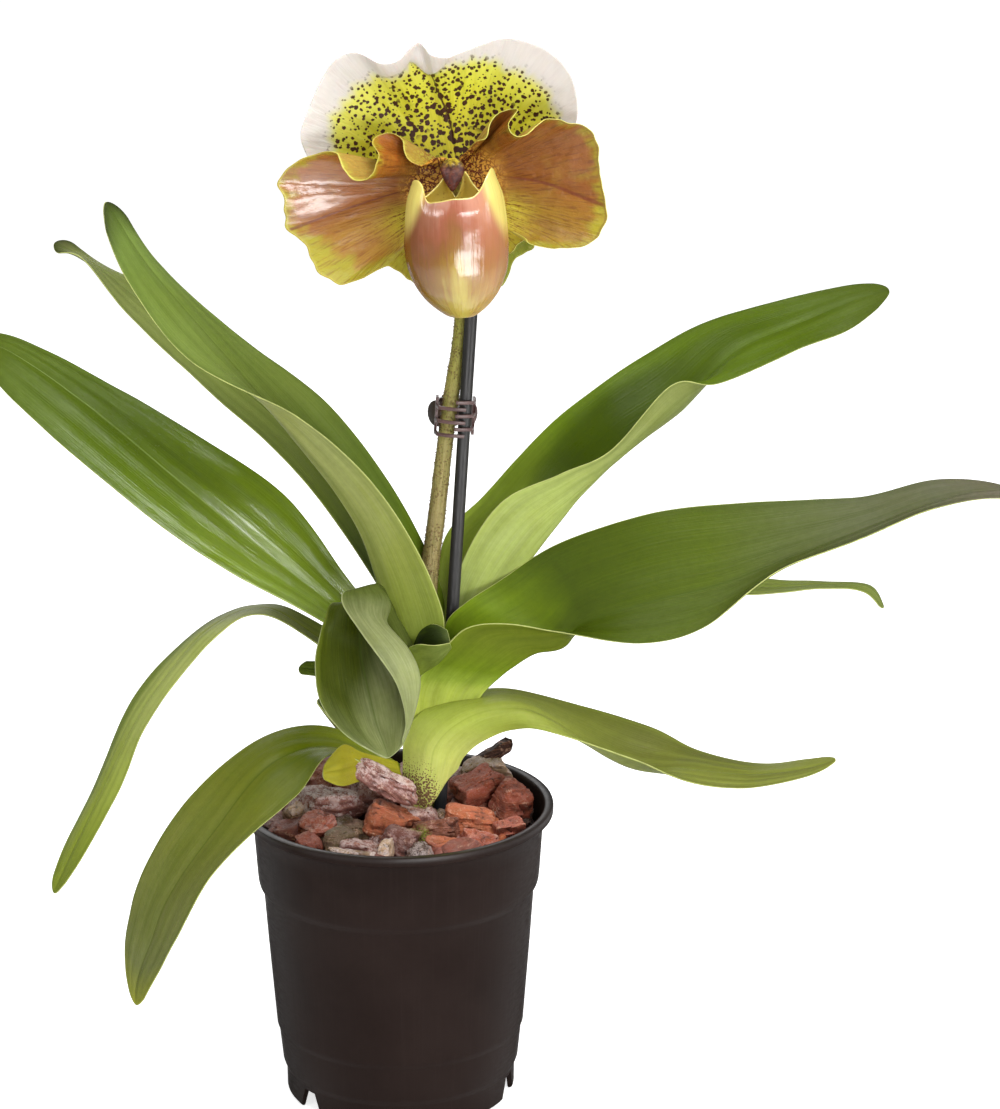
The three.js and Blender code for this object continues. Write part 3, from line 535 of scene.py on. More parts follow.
# colours run from base to tip on each side of the blade
plainLeaf = {
    "upper": [(0, (140, 150, 50)), (0.15, (112, 128, 28)), (0.45, (84, 102, 18)), (1, (90, 104, 34))],
    "under": [(0, (165, 178, 86)), (0.3, (128, 138, 58)), (1, (112, 118, 54))],
    "vein": (150, 160, 60), "broad": (62, 78, 10), "mottle": (165, 165, 50),
    "rib": (58, 74, 10), "margin": (176, 182, 106), "roughness": 0.32, "shine": 0.17,
    "ribStrength": 0.5, "ribDepth": 0.1, "pebble": 0.00022,
}
leafLooks = {
    "leaf_far_left": {
        "upper": [(0, (98, 118, 8)), (0.2, (122, 144, 34)), (0.6, (87, 108, 14)), (1, (86, 100, 36))],
        # a painted highlight: a pale patch near the foot of the blade, by its edge
        "paintedLightPatches": [(0.1, 0.1, 0.12, 0.3, (176, 190, 128))], "pebble": 0.00026, "wax": 0.7,
        "rib": (140, 160, 84), "roughness": 0.16, "shine": 1.0, "ribDepth": 0.34, "dullTip": 0.2,
        "tipShine": 0.15},
    "leaf_upper_left": {
        # the dark tip is partly darker colour and partly painted shade for its curl, which is not
        # modelled
        "upper": [(0, (104, 118, 26)), (0.35, (90, 110, 30)), (0.55, (110, 124, 58)),
                  (0.9, (110, 129, 62)), (1, (36, 42, 12))],
        # the pale middle of the underside is partly painted highlight
        "under": [(0, (100, 118, 22)), (0.2, (130, 140, 62)), (0.33, (152, 158, 90)),
                  (0.5, (156, 160, 104)), (0.8, (150, 152, 100)), (1, (104, 106, 52))]},
    "leaf_left_behind": {
        # the dark tip is partly darker colour and partly painted shade for its curl, which is not
        # modelled
        "upper": [(0, (112, 130, 34)), (0.5, (126, 137, 74)), (0.9, (120, 126, 76)),
                  (1, (44, 46, 18))]},
    "leaf_upper_right": {
        # the pale foot of both faces is partly the blade's own pale base and partly painted light
        # shining through it
        "upper": [(0, (172, 184, 96)), (0.14, (150, 166, 66)), (0.24, (138, 158, 54)),
                  (0.38, (98, 120, 24)), (0.7, (80, 100, 8)), (1, (68, 80, 16))],
        # painted shade: dark patches beside the fold
        "paintedLightPatches": [(0.44, 0.72, 0.24, 0.26, (58, 74, 4)), (0.64, 0.68, 0.2, 0.2, (70, 88, 8))],
        "under": [(0, (166, 178, 104)), (0.3, (158, 170, 96)), (0.5, (130, 138, 80)),
                  (1, (96, 102, 50))]},
    "leaf_right_wide": {
        "upper": [(0, (150, 164, 64)), (0.1, (126, 146, 42)), (0.2, (120, 144, 32)),
                  (0.34, (108, 130, 12)), (0.46, (62, 76, 8)), (0.6, (74, 88, 14)),
                  (0.85, (90, 90, 72)), (1, (112, 102, 96))],
        "under": [(0, (196, 206, 100)), (0.09, (176, 190, 86)), (0.125, (146, 166, 62)),
                  (0.19, (106, 126, 22)), (0.3, (98, 110, 24)), (0.7, (96, 104, 34)),
                  (1, (150, 130, 96))],
        "broad": (52, 64, 8), "roughness": 0.42, "shine": 0.14},
    "leaf_right_low": {
        "upper": [(0, (204, 208, 122)), (0.12, (202, 209, 120)), (0.3, (166, 178, 82)),
                  (0.4, (140, 150, 62)), (0.52, (138, 145, 68)), (0.62, (110, 114, 52)),
                  (0.8, (98, 102, 42)), (1, (108, 112, 46))],
        "under": [(0, (188, 194, 108)), (0.45, (160, 170, 88)), (0.6, (104, 110, 62)),
                  (1, (118, 122, 66))],
        "broad": (150, 160, 66), "rib": (120, 136, 40), "ribStrength": 0.25,
        "patches": [(0.124, 0.143, 0.9, (98, 54, 56))]},
    "leaf_left_droop": {
        "upper": [(0, (102, 114, 26)), (0.22, (142, 148, 72)), (0.5, (166, 174, 104)),
                  (0.8, (142, 154, 62)), (1, (118, 130, 42))],
        # painted shade: a darker band along one edge of the blade
        "paintedLightPatches": [(0.55, 0.12, 0.4, 0.16, (112, 124, 56))], "ribDepth": 0.02, "ribStrength": 0.1,
        "under": [(0, (110, 122, 40)), (1, (98, 108, 42))]},
    "leaf_left_low": {
        "upper": [(0, (160, 170, 56)), (0.2, (86, 96, 4)), (0.4, (103, 108, 40)),
                  (0.8, (108, 112, 70)), (1, (140, 142, 42))],
        "mottle": (180, 176, 60)},
    "leaf_front_cupped": {
        # the dark olive upper stops are partly the leaf's own colour and partly painted shade inside the
        # cup
        "upper": [(0, (62, 70, 4)), (0.4, (62, 72, 0)), (0.68, (66, 74, 20)), (0.88, (92, 100, 52)),
                  (0.98, (122, 130, 84))],
        # painted sheen: the paler patches below are where the inside of the cup catches the light, with
        # a lighter band along its near edge
        "paintedSheen": (0.45, 0.62, 0.5, 0.66, (134, 140, 96)),
        "paintedLightPatches": [(0.8, 0.56, 0.28, 0.26, (116, 122, 76)), (0.5, 0.0, 0.42, 0.12, (96, 106, 32))],
        "under": [(0, (80, 90, 34)), (0.34, (84, 94, 38)), (0.5, (120, 126, 82)),
                  (0.7, (146, 152, 108)), (1, (146, 152, 106))],
        "vein": (90, 100, 30), "broad": (40, 48, 4), "margin": (148, 154, 104), "roughness": 0.46,
        "shine": 0.16},
    "leaf_young": {
        # the near-black upper face is painted shade inside the young leaf's fold
        "upper": [(0, (16, 22, 4)), (0.5, (26, 34, 8)), (0.8, (44, 54, 24)), (1, (90, 100, 60))],
        "under": [(0, (122, 138, 48)), (0.5, (100, 112, 44)), (1, (110, 122, 58))]},
    "leaf_right_behind": {
        "upper": [(0, (130, 142, 60)), (1, (120, 130, 72))]},
    "leaf_basal_yellow": {
        "upper": [(0, (146, 144, 40)), (0.5, (160, 152, 50)), (1, (144, 142, 42))],
        "under": [(0, (146, 144, 40)), (0.5, (160, 152, 50)), (1, (144, 142, 42))],
        "vein": (196, 184, 60), "broad": (176, 164, 44), "rib": (158, 152, 40)},
}

# how far the foot of a blade is cut back: place across, share along
plainFoot = [(0, 0), (1, 0)]
footCuts = {"leaf_right_low": [(0, 0.085), (0.2, 0.066), (0.36, 0.03), (0.5, 0), (1, 0)]}


def leafSurface(rails, u, v, foot=plainFoot):
    rails = np.asarray(rails, float)
    tip = 1 - leafShape["tipRound"] * np.abs(2 * v - 1) ** 2.5
    start = np.interp(v, *zip(*foot))
    place = start + (tip - start) * u
    sections = np.stack([along(rails[:, k], place) for k in range(rails.shape[1])], axis=1)
    return across(sections, v) * mm


def dressBlade(obj, name, look, edge, thickness):
    # upper face, under face and edge, on a blade that has its thickness group
    dress(obj, leafFinish(name.replace("*", "upper"), look),
          leafFinish(name.replace("*", "under"), look, under=True),
          marginFinish(name.replace("*", "margin"), edge))
    thicken(obj, thickness, rim=2)


def makeLeaf(name, rails):
    look = {**plainLeaf, **leafLooks.get(name, {})}
    wide = len(rails[0]) > 3
    towardsLeft = rails[-1][1][0] < 0 and not wide
    if towardsLeft:                 # so that the upper face is always the grid's own
        rails = [station[::-1] for station in rails]
    rows = max(leafShape["leastRows"], leafShape["rowsPerStation"] * (len(rails) - 1))
    columns = leafShape["wideColumns" if wide else "columns"]
    obj, u, v = addGrid(name.replace("leaf_", "blade_"), rows, columns)
    writePoints(obj, leafSurface(rails, u, v, footCuts.get(name, plainFoot)))
    points, normals = readPoints(obj), readPoints(obj, "normal")
    off = np.abs(2 * v - 1)
    fade = rise(0, 0.12, u) * rise(1, 0.8, u)
    relief = -leafShape["groove"] * np.exp(-(off / (2 * leafShape["grooveWidth"])) ** 2) * fade
    relief += look["ribDepth"] * np.cos(2 * math.pi * leafShape["ribs"] * v) * fade * (1 - off ** 3)
    seed = sum(map(ord, name)) % 17
    relief += leafShape["ripple"] * off ** 3 * wave(points, leafShape["rippleSize"] * mm, seed) * fade
    relief += leafShape["wrinkle"] * wave(points, leafShape["wrinkleSize"] * mm, seed + 3) * fade
    writePoints(obj, points + normals * (relief * mm)[:, None])
    thin = leafShape["edge"] / leafShape["middle"]
    thicknessGroup(obj, thin + (1 - thin) * (1 - off ** 1.5) * (1 - leafShape["thinning"] * u))
    dressBlade(obj, name.replace("leaf_", "*_"), look, look["margin"], leafShape["middle"])
    finishPiece(obj, [name])


for leafName, leafRail in leafRails.items():
    makeLeaf(leafName, leafRail)
print("leaves made")


def tubeGrid(name, shape):
    # a round tube along a path, its ends drawn in to a point; returns it with its shares
    rows, sides = shape["grid"]
    obj, u, v = addGrid(name, rows, sides)
    centre = along(shape["path"], u)
    ahead, behind = np.minimum(u + 0.01, 1), np.maximum(u - 0.01, 0)
    forward = unit(along(shape["path"], ahead) - along(shape["path"], behind))
    side = unit(np.cross(np.array([0, -1.0, 0]), forward))
    up = np.cross(forward, side)
    radius = along(shape["radii"], u)
    ends = np.minimum(u, 1 - u) * rows
    radius = np.where(ends < 0.5, 0.0, np.where(ends < 1.5, radius * 0.82, radius))
    angle = 2 * math.pi * v
    return obj, u, v, centre, side * np.cos(angle)[:, None] + up * np.sin(angle)[:, None], radius


def scatterHairs(name, place, out, u, shape):
    # fine hairs anywhere between the points of a tube's grid: one spike, set again at each place
    pickFrom = np.random.default_rng(shape["seed"])
    first = pickFrom.integers(0, len(u) - 1, shape["hairs"])
    first = first[(u[first] > 0.03) & (u[first] < 0.95) & (np.abs(u[first + 1] - u[first]) < 0.02)]
    share = pickFrom.random(len(first))[:, None]
    roots = (place[first] * (1 - share) + place[first + 1] * share) * mm
    aims = out[first] * (1 - share) + out[first + 1] * share
    deselectAll()
    bpy.ops.mesh.primitive_cone_add(vertices=3, radius1=1, radius2=0, depth=1, location=(0, 0, 0.5),
                                    end_fill_type="NOTHING")
    spike = bpy.context.object
    settle(spike)
    form = readPoints(spike)
    faces = [tuple(p.vertices) for p in spike.data.polygons]
    draw = random.Random(shape["seed"])
    thickness, spread, length = hairShape["width"] * mm, hairShape["spread"], shape["hairLength"] * mm
    allPoints, allFaces = [], []
    for root, aim in zip(roots, aims):
        axis = Vector(aim) + Vector([draw.uniform(-spread, spread) for _ in range(3)])
        axis.normalize()
        turn = np.array(axis.to_track_quat("Z", "Y").to_matrix())
        scale = np.array([thickness, thickness, length * draw.uniform(0.5, 1.1)])
        start = len(allPoints)
        allPoints.extend((form * scale) @ turn.T + root)
        allFaces.extend([tuple(start + i for i in face) for face in faces])
    mesh = bpy.data.meshes.new(name)
    mesh.from_pydata([tuple(p) for p in allPoints], [], allFaces)
    obj = bpy.data.objects.new(name, mesh)
    scene.collection.objects.link(obj)
    bpy.data.objects.remove(spike)
    return obj


hairShape = {"width": 0.1, "spread": 0.45,
             "tones": [(96, 70, 40), (124, 96, 56), (150, 126, 80)], "speck": (80, 56, 34)}
scapeShape = {
    "path": [[11.4, 4, 185.5], [12.6, 5, 209], [15.2, 6, 229], [20.1, 7, 270], [24.8, 9, 303],
             [25.6, 9.5, 336]],
    "radii": [3.1, 3.3, 3.2, 2.9, 2.7, 2.9], "grid": (120, 28),
    "hairs": 5200, "hairLength": 0.75, "seed": 11,
    "lumps": 0.056, "lumpSize": 12, "ridges": 3, "ridgeDepth": 0.02,   # depths as shares of the radius
    "tones": [(122, 112, 62), (148, 136, 84), (164, 148, 104)], "speck": (104, 74, 48),
}
ovaryShape = {
    "path": [[25.5, 9.4, 336.6], [25.2, 8, 349], [24.2, 0, 360], [22.8, -12.5, 363.5]],
    "radii": [3, 3.7, 3.5, 2.7], "grid": (70, 48), "hairs": 900, "hairLength": 0.8, "seed": 12,
    "ridges": 6, "ridgeDepth": 0.28,
    "tones": [(96, 104, 46), (124, 128, 60), (140, 136, 78)], "speck": (84, 60, 44),
}
crownShape = {
    "path": [[9.5, 9, 96], [9.5, 9, 117], [9.3, 8, 129], [9, 7, 142], [9, 6, 154], [9.5, 5, 167],
             [10.5, 4, 177], [11.6, 3.6, 184]],
    "radii": [7, 7.5, 7.5, 7, 6.5, 6, 5, 3.8], "grid": (90, 64), "sheaths": 5, "lap": 0.7,
    "upper": [(0, (150, 140, 90)), (0.3, (176, 190, 100)), (1, (160, 182, 76))],
}
bractShape = {
    "rails": [[[20.6, 8, 327], [25.2, 14, 326], [29.6, 10, 327]],
              [[19.5, 8, 338], [25.2, 15.4, 338], [31, 10, 338]],
              [[21, 9, 349], [25.6, 15.4, 350], [30, 11, 349]],
              [[24.6, 13.4, 358], [25.8, 14.8, 360], [27, 13.6, 358]]],
    "thickness": 1.0, "upper": [(0, (150, 160, 80)), (1, (132, 150, 70))],
    "under": [(0, (160, 170, 90)), (1, (140, 156, 76))], "edge": (180, 190, 110),
}


def stemFinish(name, shape):
    f = Finish(name)
    u, v = f.surface()
    place = f.place()
    streak = f.noise(f.vector(u * 9, v * 22), 1, 3)
    fine = f.noise(place, 900, 3, 0.7)
    f.colour = f.ramp(streak, list(zip((0.3, 0.5, 0.7), shape["tones"])))
    f.paint(u.between(0.35, 1.0, 0, 0.75), (146, 150, 44))
    dots = f.out("TexVoronoi", {"Vector": place, "Scale": 1100.0}, "Distance")
    mark = dots.between(0.25, 0.5, 1, 0) * f.noise(place, 260, 3).between(0.36, 0.6)
    f.paint(mark * 0.7, shape["speck"])
    return f.finish(fine.between(0.3, 0.7, 0.5, 0.72), f.bump(fine + mark * 0.6, 0.00025),
                    Subsurface_Weight=0.06, Subsurface_Scale=0.002, Specular_IOR_Level=0.3)


def makeHairyStem(name, shape, relief):
    # relief takes the shares, the centre line and the plain radius, and gives the finished radius
    obj, u, v, centre, out, radius = tubeGrid(name + "_stem", shape)
    place = centre + out * relief(u, v, centre, radius)[:, None]
    writePoints(obj, place * mm)
    fuzz = scatterHairs(name + "_hairs", place, out, u, shape)
    mergeDoubles(obj, 0.00001)
    dress(obj, stemFinish(name + "_skin", shape))
    finishPiece(obj, [name])
    dress(fuzz, stemFinish(name + "_fuzz", hairShape))
    finishPiece(fuzz)


def lumpyScape(u, v, centre, radius):
    ridge = scapeShape["ridgeDepth"] * np.cos(2 * math.pi * scapeShape["ridges"] * v)
    lumps = scapeShape["lumps"] * wave(centre * mm, scapeShape["lumpSize"] * mm, 2)
    return radius * (1 + lumps + ridge)


def ridgedOvary(u, v, centre, radius):
    ridge = ovaryShape["ridgeDepth"] * np.cos(2 * math.pi * ovaryShape["ridges"] * v) * rise(0, 0.2, u)
    return radius + np.where(radius > 1, ridge, 0)


def makeBract():
    obj, u, v = addGrid("bract_sheath", 36, 22)
    writePoints(obj, leafSurface(bractShape["rails"], u, v))
    thicknessGroup(obj, 1 - 0.6 * np.abs(2 * v - 1))
    look = {**plainLeaf, "upper": bractShape["upper"], "under": bractShape["under"]}
    dressBlade(obj, "bract_*", look, bractShape["edge"], bractShape["thickness"])
    finishPiece(obj, ["bract"])


def makeCrown():
    # the short stem, wrapped in the overlapping feet of the leaves
    obj, u, v, centre, out, radius = tubeGrid("crown_sheaths", crownShape)
    turn = v + 0.5 * np.floor(u * crownShape["sheaths"])
    climb = (u * crownShape["sheaths"] + 0.35 * np.cos(2 * math.pi * turn)) % 1
    lap = crownShape["lap"] * (0.5 - climb) * rise(0, 0.05, u)
    writePoints(obj, (centre + out * np.where(radius > 1, radius + lap, radius)[:, None]) * mm)
    mergeDoubles(obj, 0.00001)
    dress(obj, leafFinish("crown_skin", {**plainLeaf, "upper": crownShape["upper"]}))
    finishPiece(obj, ["stem_crown"])


makeHairyStem("scape", scapeShape, lumpyScape)
makeHairyStem("ovary", ovaryShape, ridgedOvary)
makeBract()
makeCrown()
print("stems made")


petalForms = {
    "sepal_dorsal": {
        "base": [[17, -15, 363], [28, -15, 363]], "bulge": 5,
        "margin": [[-22, -18, 361], [-28, -19, 368], [-32, -20, 378], [-29, -21, 388],
                   [-24, -23, 399], [-19, -25, 406], [-12, -27, 409], [-3, -30, 406.2],
                   [3.2, -32, 407], [7.8, -33, 411.6], [10.7, -33, 413.8], [13.2, -34, 412],
                   [15, -35, 409.9], [18.5, -35, 408.9], [22, -33.5, 408.6], [27, -31, 410],
                   [33, -28, 412], [40, -26, 414], [47, -25, 413], [55, -24, 410], [62, -23, 404],
                   [66, -21, 396], [67, -20, 386], [64, -19, 377], [58, -18, 370]],
    },
    "petal_left": {
        "base": [[20.6, -17.5, 369], [20.6, -17, 353]], "bulge": -2,
        "margin": [[20, -20, 371], [15, -24, 371], [11, -34, 370], [6, -33, 373], [4, -28, 379],
                   [-2, -27, 381], [-6, -32, 378], [-4, -40, 374], [-7, -46, 368], [-12, -47, 367],
                   [-16, -44, 370], [-19, -36, 375], [-27, -32, 374], [-35, -30, 370],
                   [-40, -28, 364], [-38, -29, 357], [-38, -28, 350], [-36, -28, 345],
                   [-31, -30, 341], [-28, -32, 335], [-24, -33, 330], [-18, -34, 327],
                   [-11, -34, 329], [-7, -33, 331], [-1, -31, 333], [3, -28, 331], [8, -24, 327],
                   [12, -20, 337]],
    },
    "petal_right": {
        "base": [[24.6, -17.5, 369], [24.6, -17, 353]], "bulge": -2,
        "margin": [[25, -20, 371], [28, -23, 374], [31, -28, 378], [35, -31, 380], [36, -29, 384.5],
                   [39.5, -28, 388.5], [46, -30, 390], [44, -34, 387.5], [42.3, -38, 384.5],
                   [45, -40, 381.6], [49, -39, 382], [53, -36, 385], [57, -33, 387], [64, -31, 385],
                   [69, -30, 384], [73, -29, 380], [75, -28, 373], [76, -27, 365], [77, -27, 357],
                   [78, -28, 350], [75, -29, 344], [71, -31, 341], [65, -32, 340], [58, -32, 340],
                   [51, -31, 341], [49, -30, 343], [46, -27, 340], [42, -24, 336], [37, -20, 341]],
    },
    "synsepal": {
        "base": [[17, -14, 361.5], [28, -14, 361.5]], "bulge": 3,
        "margin": [[10, -14, 345], [2, -13, 340], [-3, -12, 333], [0, -12, 329], [7, -13, 325],
                   [14, -14, 320], [23, -15, 316], [33, -14, 319], [41, -13, 323], [44, -12, 330],
                   [49, -11, 334], [52, -11, 337], [47, -13, 343], [37, -14, 346]],
    },
}

petalShape = {
    "rows": 44, "columnsPerPoint": 5, "thickness": 0.75, "start": 0.03, "waveGrowth": 2.2,
    "ripple": 0.5, "rippleSize": 6, "crimp": 0.3, "crimpSize": 2.5, "pleats": 0.8, "pleatSize": 22,
    "scallop": 1.3, "scallopSize": 4, "trim": 0.4,
    "crease": 3.2, "creaseWidth": 0.012,               # along the midline
    "turned": ("sepal_dorsal", "petal_right"),         # whose grid faces backwards
}
# the margin above this line (place along the margin, share of the reach) is folded forward
topFold = {"line": [(0.27, 0.826), (0.28, 0.852), (0.3, 0.885), (0.32, 0.901), (0.35, 0.921),
                    (0.36, 0.923), (0.37, 0.896), (0.39, 0.809), (0.41, 0.76), (0.43, 0.754),
                    (0.46, 0.783), (0.5, 0.833), (0.53, 0.881), (0.56, 0.949), (0.58, 0.976),
                    (0.6, 1.02)], "forward": 3.2,
           "from": (0.265, 0.285), "to": (0.6, 0.58)}
# where the rim colour begins: place along the margin, share of the reach
rimStarts = {
    "sepal_dorsal": [(0, 0.75), (0.085, 0.81), (0.128, 0.85), (0.167, 0.79), (0.215, 0.78),
                     (0.258, 0.82), (0.322, 0.9), (0.362, 0.925), (0.41, 0.87), (0.45, 0.8),
                     (0.49, 0.87), (0.55, 0.91), (0.6, 0.94), (0.667, 0.895), (0.757, 0.79),
                     (0.812, 0.785), (0.855, 0.815), (0.895, 0.825), (1, 0.84)],
    "petal_left": [(0, 0.93), (0.1, 0.95), (0.62, 0.955), (0.7, 0.82), (0.8, 0.76), (1, 0.7)],
    "petal_right": [(0, 0.93), (0.1, 0.96), (0.66, 0.955), (0.78, 0.9), (0.9, 0.86), (1, 0.8)],
    "synsepal": [(0, 0.9), (1, 0.9)],
}
# the midline across each petal: its place along the margin at the base, halfway and at the rim
midlines = {
    "sepal_dorsal": [0.59, 0.53, 0.41], "petal_left": [0.54, 0.59, 0.623],
    "petal_right": [0.54, 0.60, 0.655], "synsepal": [0.5, 0.47, 0.46],
}


def makePetal(name, face, back):
    form = petalForms[name]
    columns = petalShape["columnsPerPoint"] * len(form["margin"])
    obj, u, v = addGrid(name + "_blade", petalShape["rows"], columns)
    start, end = along(form["base"], v), along(form["margin"], v)
    reach = petalShape["start"] + (1 - petalShape["start"]) * u
    place = start + (end - start) * reach[:, None]
    growth = reach ** petalShape["waveGrowth"]
    place[:, 1] = start[:, 1] + (end[:, 1] - start[:, 1]) * growth
    place[:, 1] += form["bulge"] * np.sin(math.pi * reach)
    line = along(np.array(midlines[name]), u)
    fold = np.exp(-((v - line) / petalShape["creaseWidth"]) ** 2) * reach * (1 - reach)
    place[:, 1] += petalShape["crease"] * fold
    seed = len(name)
    if name != "sepal_dorsal":
        # the edge is a little ragged
        ragged = petalShape["scallop"] * wave(end * mm, petalShape["scallopSize"] * mm, seed)
        place -= unit(end - start) * (petalShape["trim"] + ragged * reach ** 8)[:, None]
    ripple = wave(place * mm, petalShape["rippleSize"] * mm, seed)
    place[:, 1] += petalShape["ripple"] * ripple * reach ** 3
    crimp = wave(place * mm, petalShape["crimpSize"] * mm, seed + 1)
    place[:, 1] += petalShape["crimp"] * crimp * reach ** 2
    pleats = wave(np.stack([v * 1.1, u * 0.05, 0 * u], axis=1), petalShape["pleatSize"] * mm, seed)
    place[:, 1] += petalShape["pleats"] * pleats * reach * (1.1 - reach)
    lip = np.zeros(len(u))
    if name == "sepal_dorsal":
        over = reach - np.interp(v, *zip(*topFold["line"]))
        lip = rise(-0.012, 0.012, over) * rise(*topFold["from"], v) * rise(*topFold["to"], v)
        place[:, 1] -= topFold["forward"] * lip * (1 + 0.5 * rise(0, 0.1, over))
    writePoints(obj, place * mm)
    addAttributes(obj, rim=reach - np.interp(v, *zip(*rimStarts[name])), reach=reach, lip=lip,
                  midline=v - line,
                  far=np.linalg.norm(place[:, [0, 2]] - np.array(flowerCentre), axis=1))
    thicknessGroup(obj, 1 - 0.5 * rise(0.8, 1, u))
    dress(obj, *((back, face) if name in petalShape["turned"] else (face, back)))
    thicken(obj, petalShape["thickness"])
    finishPiece(obj, [name])


def petalVeins(f):
    u, v = f.surface()
    return f.noise(f.vector(u * 6, v * 150), 1, 3, 0.6), f.noise(f.vector(u * 2, v * 38), 1, 2)


dorsalSpots = [
    # spacing along the veins, rows a radian, from, to, size
    (3.3, 6.8, 4, 38, 1.12), (3.0, 10.5, 22, 58, 0.9), (3.2, 9, 12, 56, 0.68), (2.7, 17.0, 34, 66, 0.54),
]


def dorsalFinish(name, spotted):
    f = Finish(name)
    place = f.place()
    x, _, z = f.parts(place)
    fine, broad = petalVeins(f)
    far, lip = f.value("far"), f.value("lip")
    ray = f.math("ARCTAN2", x - flowerCentre[0] * mm, z - flowerCentre[1] * mm)
    f.colour = f.ramp(far / 60, [(0, (202, 180, 48)), (0.3, (208, 198, 42)), (0.6, (212, 210, 58)),
                                 (1, (222, 222, 124))])
    f.paint(broad.between(0.35, 0.7, 0, 0.5), (178, 176, 30))
    f.paint(fine.between(0.45, 0.75, 0, 0.35), (218, 216, 104))
    tide = f.value("rim") + (broad - 0.5) * 0.14
    white = f.mix(fine.between(0.3, 0.7, 0, 0.4), (216, 211, 205), (204, 197, 192))
    # the green is in shade just under the folded lip
    f.paint(lip.between(0.02, 0.2) * lip.between(0.25, 0.55, 1, 0) * 0.6, (92, 84, 40))
    f.paint(f.math("MAXIMUM", tide.between(-0.07, 0.04), lip.between(0.35, 0.6)), white)
    if spotted:
        line = abs(f.value("midline"))
        crowd = line.between(0.0, 0.045, 0.4, 0)
        wobble = (f.noise(place, 1100, 2) - 0.5) * 1.1
        offLip = lip.between(0.2, 0.5, 1, 0)
        for spacing, rows, low, high, size in dorsalSpots:
            # spots in rows along the veins
            grid = f.vector(far / spacing, ray * rows, size)
            cell = f.node("TexVoronoi", {"Vector": grid, "Scale": 1.0, "Randomness": 0.8},
                          voronoi_dimensions="2D")
            offset = f.out("VectorMath", {0: grid, 1: cell.outputs["Position"]}, operation="SUBTRACT")
            alongVein, acrossVein = f.parts(offset)[:2]
            alongVein = alongVein * spacing
            acrossVein = acrossVein / rows * far
            distance = f.math("SQRT", alongVein * alongVein + acrossVein * acrossVein)
            chance = f.parts(cell.outputs["Color"])[0]
            limit = far.between(low, high, size, 0.55 * size)
            limit = limit * chance.between(0.0, 0.9, 0.35, 1.15) + crowd
            mark = (distance + wobble - limit).between(-0.1, 0.14, 1, 0)
            inside = tide.between(-0.05, 0.06, 1, 0) * offLip * (
                far.between(high - 4, high, 1, 0) * far.between(low - 3, low))
            f.paint(mark * inside, (60, 28, 16))
        blot = f.noise(place, 380, 2) * 0.045
        dark = (line + blot).between(0.028, 0.04, 1, 0) * tide.between(-0.1, -0.02, 1, 0) * offLip
        f.paint(dark * fine.between(0.25, 0.55, 0.55, 1), (70, 34, 20))
    return f.finish(fine.between(0.3, 0.7, 0.36, 0.5), f.bump(fine, 0.0003), Subsurface_Weight=0.12,
                    Subsurface_Scale=0.0015, Specular_IOR_Level=0.35)


def petalFinish(name, tones):
    # tones: brown above the midline, ochre below it, the skirt, the rim, the veins
    f = Finish(name)
    place = f.place()
    fine, broad = petalVeins(f)
    far, middle = f.value("far"), f.value("midline")
    line = abs(middle)
    cloud = f.noise(place, 130, 3)
    f.colour = f.mix(middle.between(-0.02, 0.1), tones["upper"], tones["lower"])
    f.paint(broad.between(0.35, 0.7, 0, 0.5), tones["broad"])
    f.paint(cloud.between(0.45, 0.75, 0, 0.35), tones["lower"])
    # the yellow-green skirt along the rim
    tide = f.value("rim") + ((broad - 0.5) * 0.25 + (cloud - 0.5) * 0.3)
    f.paint(tide.between(-0.06, 0.1, 0, 0.8), tones["skirt"])
    # yellow round the pouch, below the midline
    near = (far + (broad - 0.5) * 12).between(20, 36, 1, 0) * middle.between(0.03, 0.14)
    f.paint(near * 0.8, tones["centre"])
    # veins run out from the centre and are darkest near it
    f.paint(fine.between(0.5, 0.66) * far.between(15, 60, 0.75, 0.4), tones["vein"])
    dots = f.noise(place, 900, 2).between(0.5, 0.6) * near
    f.paint(dots * fine.between(0.45, 0.55) * 0.9, tones["net"])
    f.paint(line.between(0.0015, 0.007, 0.75, 0), tones["line"])
    f.paint((f.value("reach") + (cloud - 0.5) * 0.03).between(0.978, 0.995) * 0.85, tones["rim"])
    # a dark net on yellow round the flower's centre
    shake = f.out("TexNoise", {"Vector": place, "Scale": 420.0, "Detail": 2.0}, "Color")
    bent = f.out("VectorMath", {0: shake, 3: 0.003}, operation="SCALE")
    bent = f.out("VectorMath", {0: place, 1: bent}, operation="ADD")
    net = f.out("TexVoronoi", {"Vector": bent, "Scale": 620.0, "Randomness": 1.0}, "Distance",
                feature="DISTANCE_TO_EDGE")
    ring = (far + (cloud - 0.5) * 10).between(13, 22, 1, 0)
    f.paint(ring, tones["heart"])
    gaps = f.noise(place, 500, 2).between(0.3, 0.45)
    f.paint(net.between(0.08, 0.19, 1, 0) * gaps * ring, tones["net"])
    # waxy above the midline, duller below it and on the skirt
    sheen = middle.between(-0.02, 0.06, 1, 0.14) * tide.between(-0.1, 0.08, 1, 0.25)
    sheen = sheen * (line.between(0.004, 0.02, 0.15, 1) * far.between(33, 50, 0.12, 1))
    height = fine * 0.6 + (broad + f.noise(place, 300, 3))
    return f.finish(fine.between(0.3, 0.7, 0.3, 0.42), f.bump(height, 0.0006), Subsurface_Weight=0.08,
                    Subsurface_Scale=0.001, Specular_IOR_Level=f.gloss(0.25), Coat_IOR=1.85,
                    Coat_Weight=sheen * f.gloss(tones.get("gloss", 0.1)), Coat_Roughness=0.2,
                    Coat_Normal=f.bump(f.noise(place, 420, 3), 0.00012))


